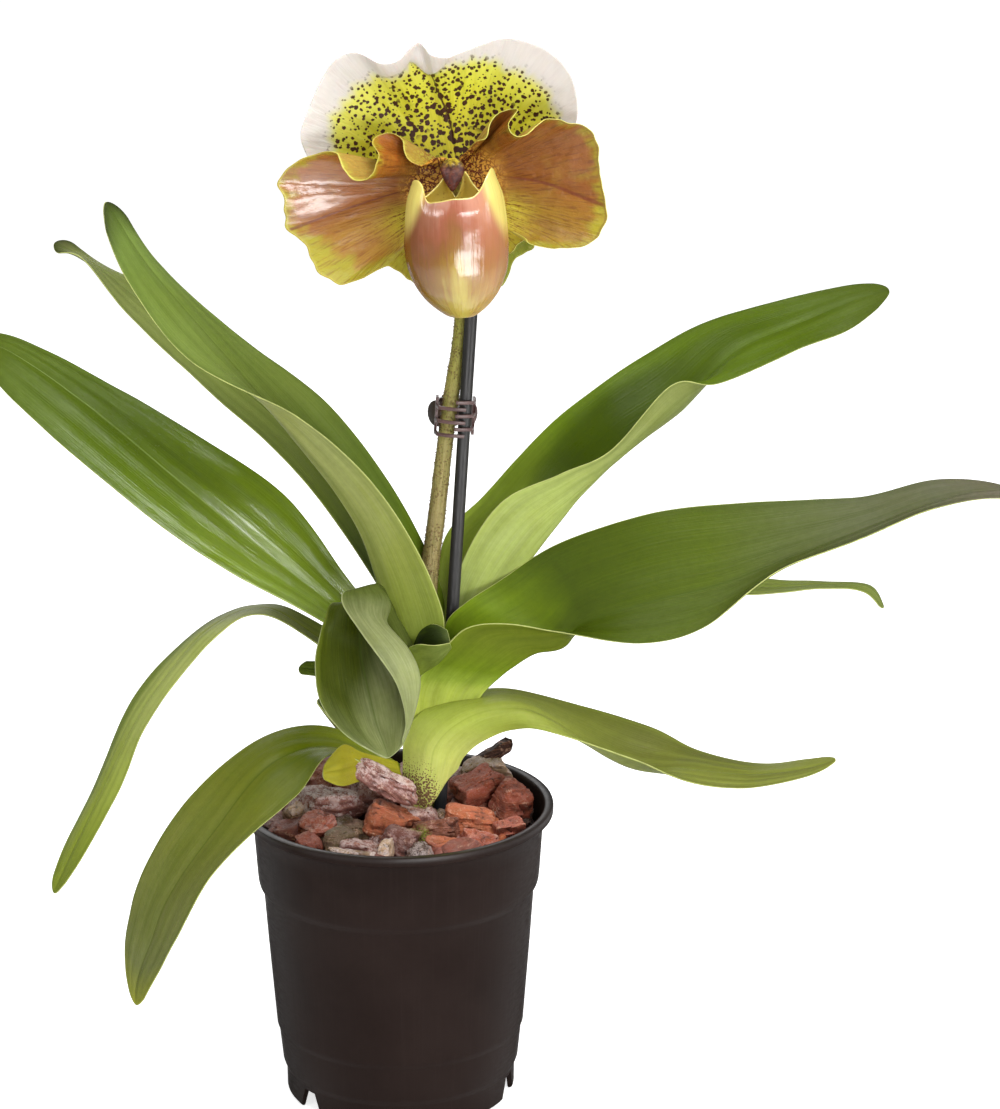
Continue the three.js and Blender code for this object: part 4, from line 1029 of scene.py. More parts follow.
petalTones = {
    "upper": (150, 88, 32), "lower": (160, 118, 38), "skirt": (160, 156, 42), "rim": (174, 162, 72),
    "vein": (108, 54, 20), "broad": (130, 76, 28), "line": (104, 48, 28), "centre": (196, 182, 56),
    "heart": (216, 160, 62), "net": (100, 38, 18), "gloss": 1.0,
}
rightTones = {**petalTones, "upper": (132, 78, 26), "lower": (144, 112, 34), "broad": (112, 64, 24),
              "vein": (92, 46, 18), "skirt": (150, 144, 38), "rim": (118, 96, 32), "gloss": 0.2}
petalBackTones = {
    "upper": (164, 132, 62), "lower": (172, 152, 68), "skirt": (190, 188, 74), "rim": (206, 202, 104),
    "vein": (144, 104, 50), "broad": (158, 128, 58), "line": (120, 80, 40), "centre": (182, 178, 64),
    "heart": (176, 160, 64), "net": (150, 108, 50),
}
sepalTones = {
    "upper": (116, 122, 28), "lower": (112, 118, 26), "skirt": (130, 134, 34), "rim": (150, 152, 56),
    "vein": (104, 112, 26), "broad": (114, 124, 28), "line": (124, 128, 50), "centre": (170, 170, 60),
    "heart": (176, 166, 60), "net": (140, 120, 50),
}
makePetal("sepal_dorsal", dorsalFinish("dorsal_face", True),
          dorsalFinish("dorsal_back", False))
petalFace = petalFinish("petal_face", petalTones)
petalBack = petalFinish("petal_back", petalBackTones)
makePetal("petal_left", petalFace, petalBack)
makePetal("petal_right", petalFinish("petal_right_face", rightTones), petalBack)
sepalFace = petalFinish("synsepal_face", sepalTones)
makePetal("synsepal", sepalFace, sepalFace)
print("petals made")


# the pouch, ring by ring from its toe up: height, centre x and y, half width, half depth
pouchShape = {
    "wall": 0.7, "sides": 120, "rows": 54, "lean": 0.3,
    "rings": [[317.8, 25.5, -46, 0.01, 0.01], [318.3, 25.45, -46, 3.2, 2.9],
              [319.5, 25.4, -46, 6.2, 5.6], [323.5, 25.1, -46, 11, 9.5], [329, 24.7, -46, 15, 13],
              [336, 24.3, -45.6, 17.6, 15], [343, 24, -45, 18.5, 15.6],
              [350, 24, -44.6, 18.5, 15.6], [356, 23.8, -44.2, 18.2, 15.2],
              [361, 23.6, -44, 17.6, 13.9]],
    # how far the rim stands above its ring, every 12 degrees from the front round to the back
    "rimLeft": [1.4, 0.7, 0, 0, 4.6, 6.4, 6.4, 5.8, 5, 3, 0, -2, -1, 2, 5.5, -3],
    "rimRight": [1.4, 1.5, 2, 4.4, 7.5, 9.6, 10.6, 10.2, 8, 4, 0, -2, -1, 2.4, 7, -3],
    "shoulder": 0.06, "earWidth": 0.55, "earFoot": 361.5, "earDrop": 12, "dents": 0.25, "dentSize": 7,
}
# colours from its toe up to its mouth
pouchTones = [(0, (182, 164, 72)), (0.2, (150, 118, 30)), (0.42, (134, 94, 28)),
              (0.62, (134, 82, 40)), (0.82, (154, 88, 64)), (1, (184, 126, 104))]


def pouchFinish(name, inside):
    f = Finish(name)
    place = f.place()
    z = f.parts(place)[2]
    u, v = f.surface()
    turn = f.value("turn")
    streak = f.noise(f.vector(u * 3, v * 60), 1, 4)
    patch = f.noise(place, 110, 3)
    # ochre climbs higher down the middle of the front
    height = z - abs(turn).between(0.0, 0.45, 0.009, 0) + (streak - 0.5) * 0.014 + (patch - 0.5) * 0.012
    f.colour = f.ramp(height.between(0.318, 0.362), pouchTones)
    # painted shade darkens the pouch's left side and painted light warms and lightens its right side
    f.paint(turn.between(-0.9, 0.2, 0.75, 0), (112, 62, 18))
    f.paint(turn.between(0.1, 0.8, 0, 0.45), (178, 120, 74))
    f.paint(streak.between(0.5, 0.8, 0, 0.4), (140, 76, 54))
    f.paint(f.math("MAXIMUM", f.value("ear"), f.value("mouth").between(6.82, 6.95)), (212, 196, 104))
    if inside:
        f.paint(0.85, (226, 206, 96))
        f.paint(f.noise(place, 700, 2).between(0.6, 0.68, 0, 0.5), (150, 90, 50))
    height = streak + patch * 0.8
    return f.finish(streak.between(0.3, 0.7, 0.12, 0.22), f.bump(height, 0.0003),
                    Subsurface_Weight=0.08, Subsurface_Scale=0.0015,
                    Specular_IOR_Level=f.gloss(0.3), Coat_IOR=1.75,
                    Coat_Weight=f.gloss(1.0) * turn.between(-0.9, -0.45, 0.2, 1), Coat_Roughness=0.19,
                    Coat_Normal=f.bump(height, 0.00016))


def makePouch():
    obj, u, v = addGrid("pouch_shell", pouchShape["rows"], pouchShape["sides"])
    rings = np.array(pouchShape["rings"])
    height, centreX, centreY, halfWidth, halfDepth = along(rings, u).T
    at = u * (len(rings) - 1) - 2                       # counts as the part's own rings do
    angle = 2 * math.pi * v
    right, back = np.sin(angle), -np.cos(angle)
    turn = np.minimum(v, 1 - v) * 2
    share = rise(-0.15, 0.15, right)
    rimLeft, rimRight = along(pouchShape["rimLeft"], turn), along(pouchShape["rimRight"], turn)
    rim = rimLeft * (1 - share) + rimRight * share
    lift = np.maximum(0, (at - 4) / 3) ** 1.5 * rim
    lean = np.maximum(0, lift) * pouchShape["lean"]
    draw = 1 - pouchShape["shoulder"] * rise(6, 7, at)
    place = np.stack([centreX - right * lean + halfWidth * right * draw,
                      centreY + halfDepth * back * draw, height + lift], axis=1)
    dents = pouchShape["dents"] * wave(place * mm, pouchShape["dentSize"] * mm, 4)
    place += dents[:, None] * np.stack([right, back, 0 * back], axis=1)
    writePoints(obj, place * mm)
    # pale yellow ears reach lower towards the sides
    low = pouchShape["earFoot"] - pouchShape["earDrop"] * rise(0.6, 1, np.abs(right))
    ear = rise(pouchShape["earWidth"], 0.78, np.abs(right)) * rise(low - 6, low + 5, place[:, 2])
    addAttributes(obj, ear=ear, mouth=at, turn=right)
    mergeDoubles(obj)
    dress(obj, pouchFinish("pouch_skin", False), pouchFinish("pouch_inside", True))
    thicken(obj, pouchShape["wall"], offset=-1)
    finishPiece(obj, ["pouch"])


staminodeShape = {
    "place": [22.5, -31.3, 368], "tilt": -0.5,
    "halfWidth": 4.4, "above": 4.6, "below": 8, "front": 1.3, "dome": 0.5, "knob": 1.3,
    "column": {"path": [[22.8, -13.2, 363.6], [22.6, -22, 366], [22.5, -31, 368.5]],
               "radii": [2.4, 2.8, 2.2], "grid": (30, 28)},
}


def staminodeFinish():
    f = Finish("staminode_skin")
    place = f.place()
    z = f.parts(place)[2]
    grain = f.noise(place, 700, 3)
    f.colour = f.mix(z.between(0.3685, 0.3725), (92, 42, 30), (188, 168, 48))
    f.paint(grain.between(0.4, 0.6, 0, 0.8), (56, 20, 18))
    f.paint(f.noise(place, 330, 2).between(0.52, 0.66, 0, 0.4), (140, 88, 60))
    return f.finish(grain.between(0.3, 0.7, 0.25, 0.45), f.bump(grain, 0.0003), Specular_IOR_Level=0.4)


def makeStaminode():
    # the shield over the pouch's mouth, domed, with a raised knob, on its short column
    shape = staminodeShape
    deselectAll()
    bpy.ops.mesh.primitive_uv_sphere_add(segments=40, ring_count=24, radius=1)
    shield = named("staminode_shield")
    x, y, z = readPoints(shield).T
    width = shape["halfWidth"] * np.where(z < 0, (1 - z * z) ** 0.12 * (1 + 0.45 * z), 1)
    tall = np.where(z < 0, z * shape["below"], z * shape["above"])
    deep = y * (shape["front"] + shape["dome"] * (1 - z * z))
    deep -= shape["knob"] * np.exp(-((x * 4.9) ** 2 + (tall - 1.2) ** 2) / 2.2)
    c, s = math.cos(shape["tilt"]), math.sin(shape["tilt"])
    turned = np.stack([x * width, deep * c - tall * s, deep * s + tall * c], axis=1)
    writePoints(shield, (turned + shape["place"]) * mm)
    column, _, _, centre, out, radius = tubeGrid("staminode_column", shape["column"])
    writePoints(column, (centre + out * radius[:, None]) * mm)
    mergeDoubles(column, 0.00001)
    joinTo(shield, [column])
    dress(shield, staminodeFinish())
    finishPiece(shield, ["staminode"])


makePouch()
makeStaminode()
print("pouch made")


potShape = {
    "sides": 144, "floor": 1.6,
    # outer wall: radius, height
    "outer": [[43.2, 0], [44.2, 0.4], [44.8, 1.2], [44.9, 10], [45.3, 11], [46, 12.5], [46.3, 13.4],
              [47.6, 26.5], [47.7, 27.4], [48.4, 28.6], [48.5, 30], [49.9, 48], [51.2, 65],
              [52.5, 84], [52.7, 85], [54.1, 86.8], [54.4, 88], [54.7, 91], [55.7, 106],
              [56.2, 113.6], [56.6, 114.2], [59.4, 114.2], [59.9, 114.7], [60, 115.4], [60, 117.1],
              [59.8, 117.7], [59.2, 118], [57.6, 118], [56.9, 117.8], [56.4, 117.2]],
    "inner": [[54.4, 106], [53.2, 88], [51, 84.5], [49.9, 65], [47.1, 30], [46.3, 26.5],
              [44.7, 13.5]],
    "floorLift": 10.5,                                 # the floor stands above the drain slots
    "slotAzimuths": [-50, 72, 190], "slotTop": 6, "slotBottom": 14, "slotHeight": 9,
    "slotFrom": 27, "slotTo": 52,
}


def potFinish():
    f = Finish("pot_plastic")
    place = f.place()
    x, y, z = f.parts(place)
    cloud = f.noise(place, 24, 4)
    grain = f.noise(place, 1400, 2)
    # fine upright flow marks from the moulding
    turn = f.math("ARCTAN2", y, x)
    flow = f.noise(f.vector(turn * 60, z * 14), 1, 3)
    scratch = f.noise(f.vector(turn * 12, z * 900), 1, 2)
    f.colour = f.mix(cloud.between(0.3, 0.7), (28, 18, 15), (34, 24, 21))
    f.paint(flow.between(0.5, 0.75, 0, 0.3), (40, 30, 27))
    f.paint(z.between(0.09, 0.118) * cloud.between(0.5, 0.7, 0, 0.3), (70, 58, 52))
    rough = (cloud + scratch).between(0.7, 1.3, 0.32, 0.44)
    return f.finish(rough, f.bump(flow * 0.6 + grain * 0.15, 0.00003), IOR=1.4,
                    Specular_IOR_Level=f.gloss(0.1) * z.between(0.1155, 0.1175, 1, 5))


def drainCutter(azimuth):
    # a block, wider at its foot, across the pot's foot
    deselectAll()
    bpy.ops.mesh.primitive_cube_add(size=1)
    wedge = bpy.context.object
    x, y, z = readPoints(wedge).T
    x = x * np.where(z > 0, potShape["slotTop"], potShape["slotBottom"])
    near, far = potShape["slotFrom"], potShape["slotTo"]
    y = y * (far - near) - (far + near) / 2
    c, s = math.cos(math.radians(azimuth)), math.sin(math.radians(azimuth))
    z = np.where(z > 0, potShape["slotHeight"], -1)
    writePoints(wedge, np.stack([x * c - y * s, x * s + y * c, z], axis=1) * mm)
    return wedge


def makePot():
    # one ring is extruded round the whole section, from the middle of the floor's underside to its top
    lift, top = potShape["floorLift"], potShape["floorLift"] + potShape["floor"]
    profile = [[1, lift], [20, lift], [42.6, lift], [42.8, 0.6],
               *potShape["outer"], *potShape["inner"], [44.6, top], [20, top], [1, top]]
    deselectAll()
    bpy.ops.mesh.primitive_circle_add(vertices=potShape["sides"], radius=profile[0][0] * mm,
                                      location=(0, 0, lift * mm))
    pot = named("nursery_pot")
    settle(pot)
    editAll()
    for (r0, z0), (r1, z1) in zip(profile, profile[1:]):
        bpy.ops.mesh.extrude_edges_move(TRANSFORM_OT_translate={"value": (0, 0, (z1 - z0) * mm)})
        bpy.ops.transform.resize(value=(r1 / r0, r1 / r0, 1))
    bpy.ops.mesh.edge_face_add()
    bpy.ops.mesh.select_all(action="DESELECT")
    bpy.ops.mesh.select_mode(type="VERT")
    leaveEdit()
    for vertex in pot.data.vertices:                   # the first ring, to close it too
        vertex.select = vertex.co.z < (lift + 0.2) * mm and vertex.co.xy.length < 1.5 * mm
    bpy.ops.object.mode_set(mode="EDIT")
    bpy.ops.mesh.edge_face_add()
    bpy.ops.mesh.select_all(action="SELECT")
    bpy.ops.mesh.normals_make_consistent(inside=False)
    leaveEdit()
    for azimuth in potShape["slotAzimuths"]:
        wedge = drainCutter(azimuth)
        applyModifier(pot, "BOOLEAN", operation="DIFFERENCE", object=wedge, solver="EXACT")
        bpy.data.objects.remove(wedge)
    dress(pot, potFinish())
    finishPiece(pot, ["pot"], angle=35)


makePot()
print("pot made")


barkTones = {
    "red": (176, 92, 64), "orange": (182, 106, 68), "brown": (140, 84, 58), "purple": (122, 76, 66),
    "dark": (66, 46, 36), "cream": (206, 176, 140), "rose": (160, 108, 98), "moss": (112, 100, 68),
}
# x, y, z, length, width, height, turn, fall towards its far end, tone, how pale and dusty it is
frontChips = [[-4, -18, 133.4, 29, 9, 9, 4, 33, "rose", 0.75],
              [-25, -4, 118, 27, 13, 14, 6, 3, "rose", 0.98],
              [-30, 26, 117, 18, 13, 14, -25, 0, "brown", 0.2],
              [-9, 4, 121, 19, 14, 13, 20, 10, "rose", 0.5],
              [-3, -19, 115, 19, 15, 15, -12, 8, "orange", 0.05],
              [-29, -21, 113, 16, 14, 13, -20, -10, "red", 0.3],
              [-39, -8, 114, 9, 9, 11, 30, 0, "cream", 0.7],
              [0, -32, 111, 11, 13, 15, 80, 10, "purple", 0.25],
              [14, -22, 113, 18, 14, 13, -8, 0, "brown", 0.1],
              [29, -14, 114, 20, 15, 13, -12, 8, "orange", 0.05],
              [31, 11, 118, 22, 13, 14, 25, -12, "red", 0.15],
              [43, 4, 116, 16, 14, 18, -40, 10, "red", 0.1],
              [33, 31, 119, 18, 12, 12, 10, 0, "cream", 0.9],
              [38, 33, 126, 21, 5, 6.5, 4, -30, "dark", 0],
              [18, -33, 110, 17, 11, 13, -10, 0, "orange", 0.1],
              [31, -28, 110, 14, 11, 12, 10, 0, "red", 0.15],
              [42, -17, 111, 13, 11, 12, 25, 0, "red", 0.1],
              [-14, -35, 110, 16, 11, 12, -6, 0, "rose", 0.75],
              [-17, -20, 111, 12, 12, 12, 40, 0, "moss", 0.1],
              [-3.5, -41, 113, 12, 5, 9, 78, 0, "cream", 0.9],
              [-15.5, -43, 112, 17, 5.5, 6, -12, 0, "cream", 0.9],
              [-38, 8, 114, 14, 13, 13, 10, 0, "purple", 0.2]]
barkShape = {
    "level": 112, "mound": 5, "rings": [14, 26, 37, 46], "counts": [5, 9, 14, 18], "limit": 53.6,
    "frontCuts": 17, "cuts": 9, "sharpness": 13, "strata": 1.3, "step": 0.9, "seed": 20260,
    # the settled medium under the loose chips: radius, height; then the steps in towards its middle
    "bed": [(44, 12.6), (46.5, 30), (49, 65), (50.2, 80), (53.4, 106)], "insets": [8, 12, 12, 10],
    # the bed's dark tone is its own colour and also painted shade in the gaps between the chips
    "bedTone": (58, 38, 30), "stemAt": (9, 8), "stemRoom": 11,
    "moss": [(0.009, -0.0077, 0.118), (0.0087, -0.0278, 0.114)],
}


def shapeChip(points, size, draw):
    # a blunt many-sided block, with layers that end in small steps, and a crumbly face
    directions = unit(points)
    normals, offsets = [], []
    for k in range(14):
        if k < 6:                       # the block's own sides, then odd corners broken off
            normal = np.zeros(3)
            normal[k // 2] = 1 if k % 2 else -1
            normal += [draw.uniform(-0.28, 0.28) for _ in range(3)]
            offsets.append(draw.uniform(0.4, 0.52))
        else:
            normal = np.array([draw.uniform(-1, 1) for _ in range(3)])
            offsets.append(draw.uniform(0.46, 0.62))
        normals.append(normal / np.linalg.norm(normal))
    facing = np.maximum(directions @ np.array(normals).T, 0) / np.array(offsets)
    reach = (facing ** barkShape["sharpness"]).sum(axis=1) ** (-1 / barkShape["sharpness"])
    p = directions * reach[:, None] * np.array(size)
    shift = Vector([draw.uniform(0, 90) for _ in range(3)])
    tilt = [draw.uniform(-0.3, 0.3), draw.uniform(-0.3, 0.3)]
    grain = min(1, min(size) / 9)
    layers, hollow = np.zeros(len(p)), np.zeros(len(p))
    for i, q in enumerate(p):
        at = Vector(q)
        level = q[2] + tilt[0] * q[0] + tilt[1] * q[1] + 1.3 * noise.noise(at / 8 + shift)
        layer = math.floor(level / barkShape["strata"])
        step = noise.noise(Vector((q[0] / 6, q[1] / 6, layer * 3.7)) + shift)
        lump = noise.noise(at / 7 + shift)
        rough = noise.fractal(at / 2.6 + shift, 0.9, 2.0, 4)
        deep = max(0, 1 - abs(noise.noise(at / 5 + shift * 1.7)) - 0.93) * 12
        out = at.normalized()
        flat = Vector((out.x, out.y, 0.2 * out.z))
        swell = out * (1.3 * lump + 0.55 * rough - 1.1 * deep) + flat * (barkShape["step"] * step)
        p[i] = at + swell * grain
        layers[i] = level
        hollow[i] = 0.5 + 0.4 * rough - 0.5 * deep + 0.25 * step
    return p, layers, hollow


def makeChip(chip, cuts, draw):
    x, y, z, length, width, height, turn, fall, toneName, pale = chip
    deselectAll()
    bpy.ops.mesh.primitive_cube_add(size=2)
    obj = bpy.context.object
    editAll()
    bpy.ops.mesh.subdivide(number_cuts=cuts)
    leaveEdit()
    p, layers, hollow = shapeChip(readPoints(obj), (length, width, height), draw)
    tip = draw.uniform(-0.3, 0.3)
    for axis, angle in ((0, tip), (1, -math.radians(fall)), (2, math.radians(turn))):
        a, b = [k for k in range(3) if k != axis]
        c, s = math.cos(angle), math.sin(angle)
        p[:, a], p[:, b] = p[:, a] * c - p[:, b] * s, p[:, a] * s + p[:, b] * c
    p += np.array([x, y, z])
    reach = np.hypot(p[:, 0], p[:, 1])
    p[:, :2] *= np.minimum(1, barkShape["limit"] / np.maximum(reach, 1))[:, None]
    writePoints(obj, p * mm)
    addTone(obj, np.array(screen(*barkTones[toneName])) * draw.uniform(0.8, 1.15))
    addAttributes(obj, pale=np.full(len(p), pale), hollow=hollow, layer=layers + 50 * draw.random())
    return obj


def barkFinish():
    f = Finish("bark_chips")
    place = f.place()
    x, y = f.parts(place)[:2]
    hollow = f.value("hollow")
    grain = f.noise(place, 330, 6, 0.7)
    fine = f.noise(place, 1300, 4, 0.7)
    blotch = f.noise(place, 130, 4, 0.6)
    # thin layers seen on the broken sides
    layer = f.value("layer") + blotch * 2.2
    sheet = f.noise(f.vector(x * 60, y * 60, layer * 2.1), 1, 3, 0.6)
    f.colour = f.out("Attribute", {}, "Color", attribute_name="tone")
    f.paint(grain.between(0.3, 0.7, 0, 0.55), (196, 122, 84), "SOFT_LIGHT")
    f.paint(sheet.between(0.3, 0.5, 0.3, 0), (84, 46, 34))
    f.paint(sheet.between(0.55, 0.72, 0, 0.5), (220, 152, 116))
    f.paint(blotch.between(0.48, 0.7, 0, 0.5), (96, 52, 38))
    # painted shade darkens the deep cracks and hollows of the chips
    f.paint(hollow.between(0.0, 0.34, 0.7, 0), (44, 25, 18))
    # raised edges are rubbed pale
    f.paint(hollow.between(0.58, 0.8, 0, 0.6) * fine.between(0.4, 0.6), (224, 178, 150))
    upward = f.parts(f.out("NewGeometry", {}, "Normal"))[2]
    # painted shade: faces that turn downwards are darkened
    f.paint(upward.between(-0.4, 0.4, 0.5, 0), (64, 32, 24))
    crust = (grain * 0.6 + fine * 0.4).between(0.43, 0.56)
    f.paint(crust * upward.between(-0.3, 0.6) * f.value("pale") * 0.95, (236, 218, 214))
    f.paint(fine.between(0.6, 0.72) * 0.4, (226, 184, 154))
    # a little moss between the middle chips
    for spot in barkShape["moss"]:
        near = f.out("VectorMath", {0: place, 1: spot}, "Value", operation="DISTANCE")
        f.paint(near.between(0.002, 0.006, 1, 0) * fine.between(0.45, 0.52), (132, 148, 44))
    height = grain + sheet * 0.8 + fine * 0.5
    return f.finish(grain.between(0.3, 0.7, 0.42, 0.75), f.bump(height, 0.0011),
                    Specular_IOR_Level=0.4)


def scatterChips(draw):
    # smaller chips in rings under and between the front ones, clear of the stem
    chips = []
    names = [name for name in barkTones if name != "cream"]
    stemX, stemY = barkShape["stemAt"]
    for radius, count in zip(barkShape["rings"], barkShape["counts"]):
        for k in range(count):
            angle = 2 * math.pi * (k + 0.6 * draw.random()) / count
            x, y = radius * math.cos(angle), radius * math.sin(angle)
            if math.hypot(x - stemX, y - stemY) < barkShape["stemRoom"]:
                continue
            near = min(math.hypot(x - chip[0], y - chip[1]) for chip in frontChips)
            lift = barkShape["mound"] * (1 - radius / barkShape["rings"][-1]) - (4 if near < 9 else 1)
            size = [draw.uniform(11, 19), draw.uniform(9, 13), draw.uniform(9, 12)]
            chip = [x, y, barkShape["level"] + lift, *size, draw.uniform(0, 360),
                    draw.uniform(-18, 18), draw.choice(names), draw.choice([0, 0.1, 0.3, 0.6])]
            chips.append(makeChip(chip, barkShape["cuts"], draw))
    return chips


def makeBed():
    deselectAll()
    radius, height = barkShape["bed"][0]
    bpy.ops.mesh.primitive_circle_add(vertices=96, radius=radius * mm, location=(0, 0, height * mm),
                                      fill_type="NGON")
    bed = named("bark_chips")
    settle(bed)
    editAll()
    for (r0, z0), (r1, z1) in zip(barkShape["bed"], barkShape["bed"][1:]):
        bpy.ops.mesh.extrude_region_move(TRANSFORM_OT_translate={"value": (0, 0, (z1 - z0) * mm)})
        bpy.ops.transform.resize(value=(r1 / r0, r1 / r0, 1))
    for inset in barkShape["insets"]:
        bpy.ops.mesh.inset(thickness=inset * mm, depth=0.8 * mm)
    leaveEdit()
    count = len(bed.data.vertices)
    addTone(bed, np.array(screen(*barkShape["bedTone"])))
    addAttributes(bed, pale=np.zeros(count), hollow=np.full(count, 0.4),
                  layer=readPoints(bed)[:, 2] / mm)
    return bed


def makeBark():
    draw = random.Random(barkShape["seed"])
    chips = [makeChip(chip, barkShape["frontCuts"], draw) for chip in frontChips]
    chips += scatterChips(draw)
    bed = makeBed()
    joinTo(bed, chips)
    dress(bed, barkFinish())
    finishPiece(bed, ["bark_medium"], angle=50)


makeBark()
print("bark made")


stakeShape = {"radius": 2.25, "sides": 40, "from": [14.2, -1.2, 84], "to": [30, 4.2, 330],
              "roundedEnds": 0.9}


def stakeFinish():
    f = Finish("stake_plastic")
    place = f.place()
    z = f.parts(place)[2]
    cloud = f.noise(place, 60, 4)
    line = f.noise(f.out("Mapping", {"Vector": place, "Scale": (2200, 2200, 30)}), 1, 2)
    f.colour = f.mix(cloud.between(0.3, 0.7), (31, 29, 29), (42, 40, 40))
    f.paint(line.between(0.45, 0.75, 0, 0.3), (62, 60, 58))
    f.paint(z.between(0.11, 0.135, 0.8, 0), (42, 52, 58))
    return f.finish(cloud.between(0.3, 0.7, 0.3, 0.4), f.bump(line, 0.00006), Specular_IOR_Level=0.45)


def makeStake():
    a, b = Vector(stakeShape["from"]) * mm, Vector(stakeShape["to"]) * mm
    deselectAll()
    bpy.ops.mesh.primitive_cylinder_add(
        vertices=stakeShape["sides"], radius=stakeShape["radius"] * mm, depth=(b - a).length,
        location=(a + b) / 2, rotation=(b - a).to_track_quat("Z", "Y").to_euler())
    stake = named("plant_stake")
    settle(stake)
    bpy.ops.object.mode_set(mode="EDIT")
    bpy.ops.mesh.select_mode(type="FACE")
    leaveEdit()
    for face in stake.data.polygons:
        face.select = len(face.vertices) > 4
    bpy.ops.object.mode_set(mode="EDIT")
    bpy.ops.mesh.bevel(offset=stakeShape["roundedEnds"] * mm, segments=4, affect="EDGES")
    leaveEdit()
    dress(stake, stakeFinish())
    finishPiece(stake, ["stake"], angle=40)


# three tones and the roughness of each of the clip's stuffs, then its parts
clipShape = {"edge": 0.28, "sharpFrom": 30, "merge": 0.00001, "flatWithin": 1, "squareWithin": 40,
             "plastic": ("clip_plastic", [(72, 48, 46), (90, 64, 60), (124, 96, 90)], 0.28),
             "steel": ("clip_spring_steel", [(150, 150, 152), (176, 176, 178), (200, 200, 200)], 0.3)}
clipParts = [("jaw_left", plantBody, "plastic", "clip"), ("jaw_right", jawBody, "plastic", "clip"),
             ("pin", plantBody, "plastic", "clip"), ("spring", plantBody, "steel", "clip_steel")]


def clipFinish(name, tones, rough):
    f = Finish(name)
    place = f.place()
    x = f.parts(place)[0]
    cloud = f.noise(place, 240, 3)
    grain = f.noise(place, 1500, 3)
    f.colour = f.mix(cloud.between(0.3, 0.7), tones[0], tones[1])
    f.paint(grain.between(0.55, 0.75, 0, 0.3), tones[2])
    # painted shade: the clip's left side, at small x, is darker
    f.paint(x.between(0.0135, 0.0165, 0.75, 0), (34, 24, 24))
    return f.finish(cloud.between(0.3, 0.7, rough, rough + 0.12), f.bump(grain, 0.00008),
                    Specular_IOR_Level=0.5)


def makeClip():
    # copies of the clip's own solids with their edges rounded
    finishes = {stuff: clipFinish(*clipShape[stuff]) for stuff in ("plastic", "steel")}
    for part, body, stuff, slotName in clipParts:
        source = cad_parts["clip_" + part]
        piece = source.copy()
        piece.data = source.data.copy()
        piece.parent = None
        for key in list(piece.keys()):
            del piece[key]
        scene.collection.objects.link(piece)
        piece.name = piece.data.name = "claw_" + part
        piece.data.materials.clear()
        dress(piece, finishes[stuff])
        pick(piece)
        editAll()
        bpy.ops.mesh.remove_doubles(threshold=clipShape["merge"])
        bpy.ops.mesh.tris_convert_to_quads(face_threshold=math.radians(clipShape["flatWithin"]),
                                           shape_threshold=math.radians(clipShape["squareWithin"]))
        leaveEdit()
        applyModifier(piece, "BEVEL", width=clipShape["edge"] * mm, segments=2, limit_method="ANGLE",
                      angle_limit=math.radians(clipShape["sharpFrom"]))
        finishPiece(piece, ["clip_" + part], body, angle=40)


makeStake()
makeClip()
print("stake and clip made")


studio = {
    "floor": (0.9, 0.9, 0.9), "glow": 0.75, "world": 0.3,
    # name, place, aim, width, height, power
    "boxes": [("top", (0.05, -0.35, 1.35), (0.03, 0, 0.25), 0.8, 0.6, 8.5),
              ("side", (0.5, -0.4, 1.1), (0.0, 0, 0.25), 0.6, 0.36, 4.5),
              ("front", (0.36, -0.93, 0.66), (0.02, -0.03, 0.35), 0.4, 0.16, 2.0),
              ("low", (0.38, -0.92, 0.12), (0.02, -0.03, 0.33), 0.74, 0.36, 5.6),
              ("left", (-0.8, -0.85, 0.95), (0.03, 0, 0.25), 0.5, 0.5, 3.6),
              ("right", (1.1, -0.5, 0.6), (0.03, 0, 0.25), 0.4, 0.6, 1.5),
              ("back", (-0.4, 1.2, 0.8), (0.0, 0, 0.25), 1.2, 0.8, 6)],
}


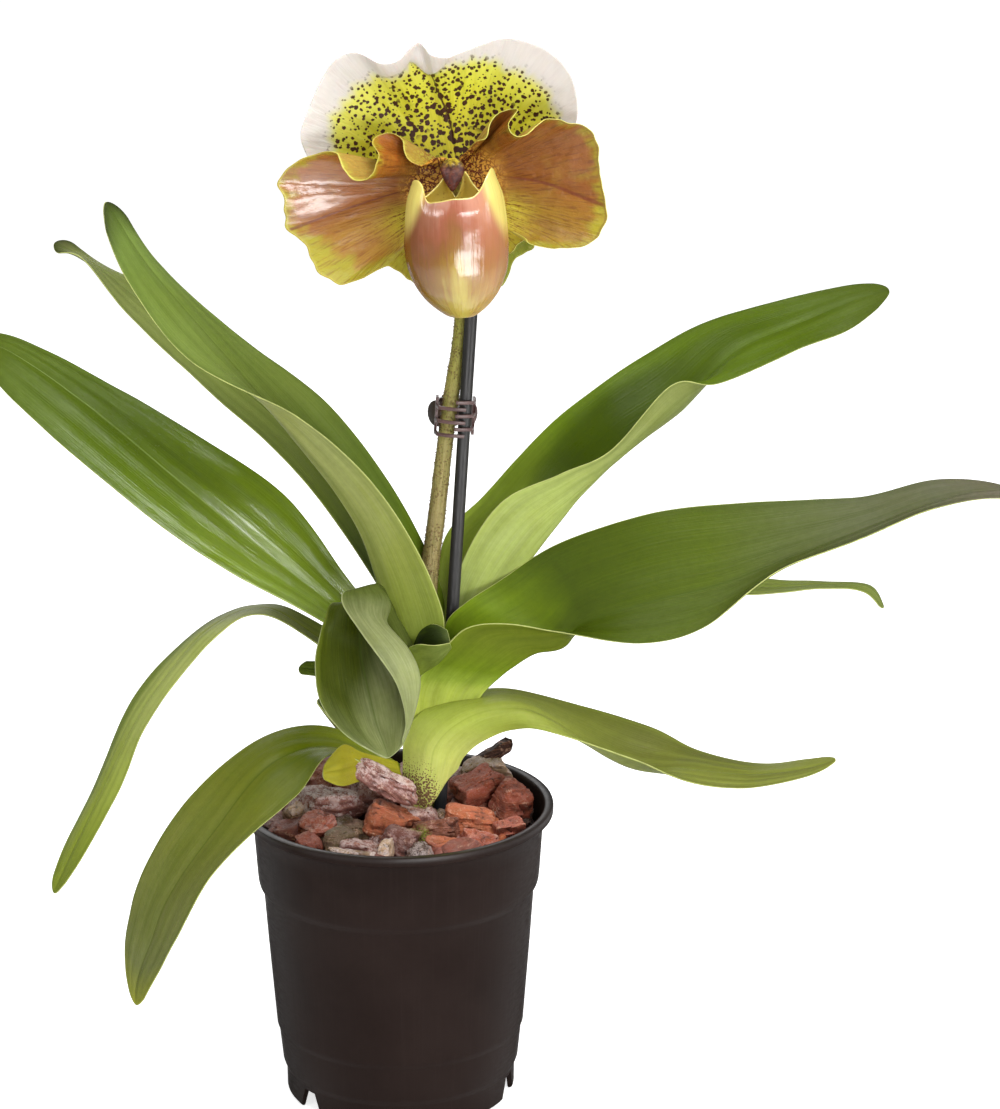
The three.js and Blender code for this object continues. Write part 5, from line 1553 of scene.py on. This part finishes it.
def floorFinish():
    f = Finish("studio_floor")
    shade = f.noise(f.place(), 3, 2)
    f.colour = f.mix(shade.between(0.3, 0.7), (*studio["floor"], 1), (0.93, 0.93, 0.925, 1))
    seen = f.out("LightPath", {}, "Is Camera Ray") * studio["glow"]
    return f.finish(0.8, None, Specular_IOR_Level=0.1, Emission_Color=(1, 1, 1, 1),
                    Emission_Strength=seen)


def stand(name, data, place, turn):
    # a lamp or camera in its place
    obj = bpy.data.objects.new(name, data)
    obj.location = place
    obj.rotation_euler = turn
    scene.collection.objects.link(obj)
    return obj


def makeStudio():
    deselectAll()
    bpy.ops.mesh.primitive_plane_add(size=8)
    floor = bpy.context.object
    floor.name = "studio_floor"
    dress(floor, floorFinish())
    floor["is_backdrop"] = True
    world = bpy.data.worlds.new("studio")
    world.use_nodes = True
    scene.world = world
    nodes, links = world.node_tree.nodes, world.node_tree.links
    background = nodes["Background"]
    background.inputs[0].default_value = (1, 1, 1, 1)
    seen = nodes.new("ShaderNodeLightPath")
    level = nodes.new("ShaderNodeMapRange")
    level.inputs[3].default_value = studio["world"]
    level.inputs[4].default_value = 1.0
    links.new(seen.outputs["Is Camera Ray"], level.inputs[0])
    links.new(level.outputs[0], background.inputs[1])
    for name, place, aim, width, height, power in studio["boxes"]:
        light = bpy.data.lights.new(name, "AREA")
        light.shape = "ELLIPSE"
        light.size, light.size_y, light.energy = width, height, power
        turn = (Vector(aim) - Vector(place)).to_track_quat("-Z", "Y").to_euler()
        stand(name, light, place, turn).visible_camera = False
    scene.view_settings.view_transform = "Standard"


view = {"place": (0.0393, -1.1234, 0.5444), "tilt": 73.76, "sensor": 36, "lens": 111.6,
        "nearest": 0.05}


def makeCamera():
    data = bpy.data.cameras.new("camera")
    data.sensor_fit = "HORIZONTAL"
    data.sensor_width = view["sensor"]
    data.lens = view["lens"]
    data.clip_start = view["nearest"]
    scene.camera = stand("camera", data, view["place"], (math.radians(view["tilt"]), 0, 0))


makeStudio()
makeCamera()
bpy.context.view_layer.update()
triangles = sum(len(p.vertices) - 2 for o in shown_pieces() if o.type == "MESH" for p in o.data.polygons)
print("triangles:", triangles)
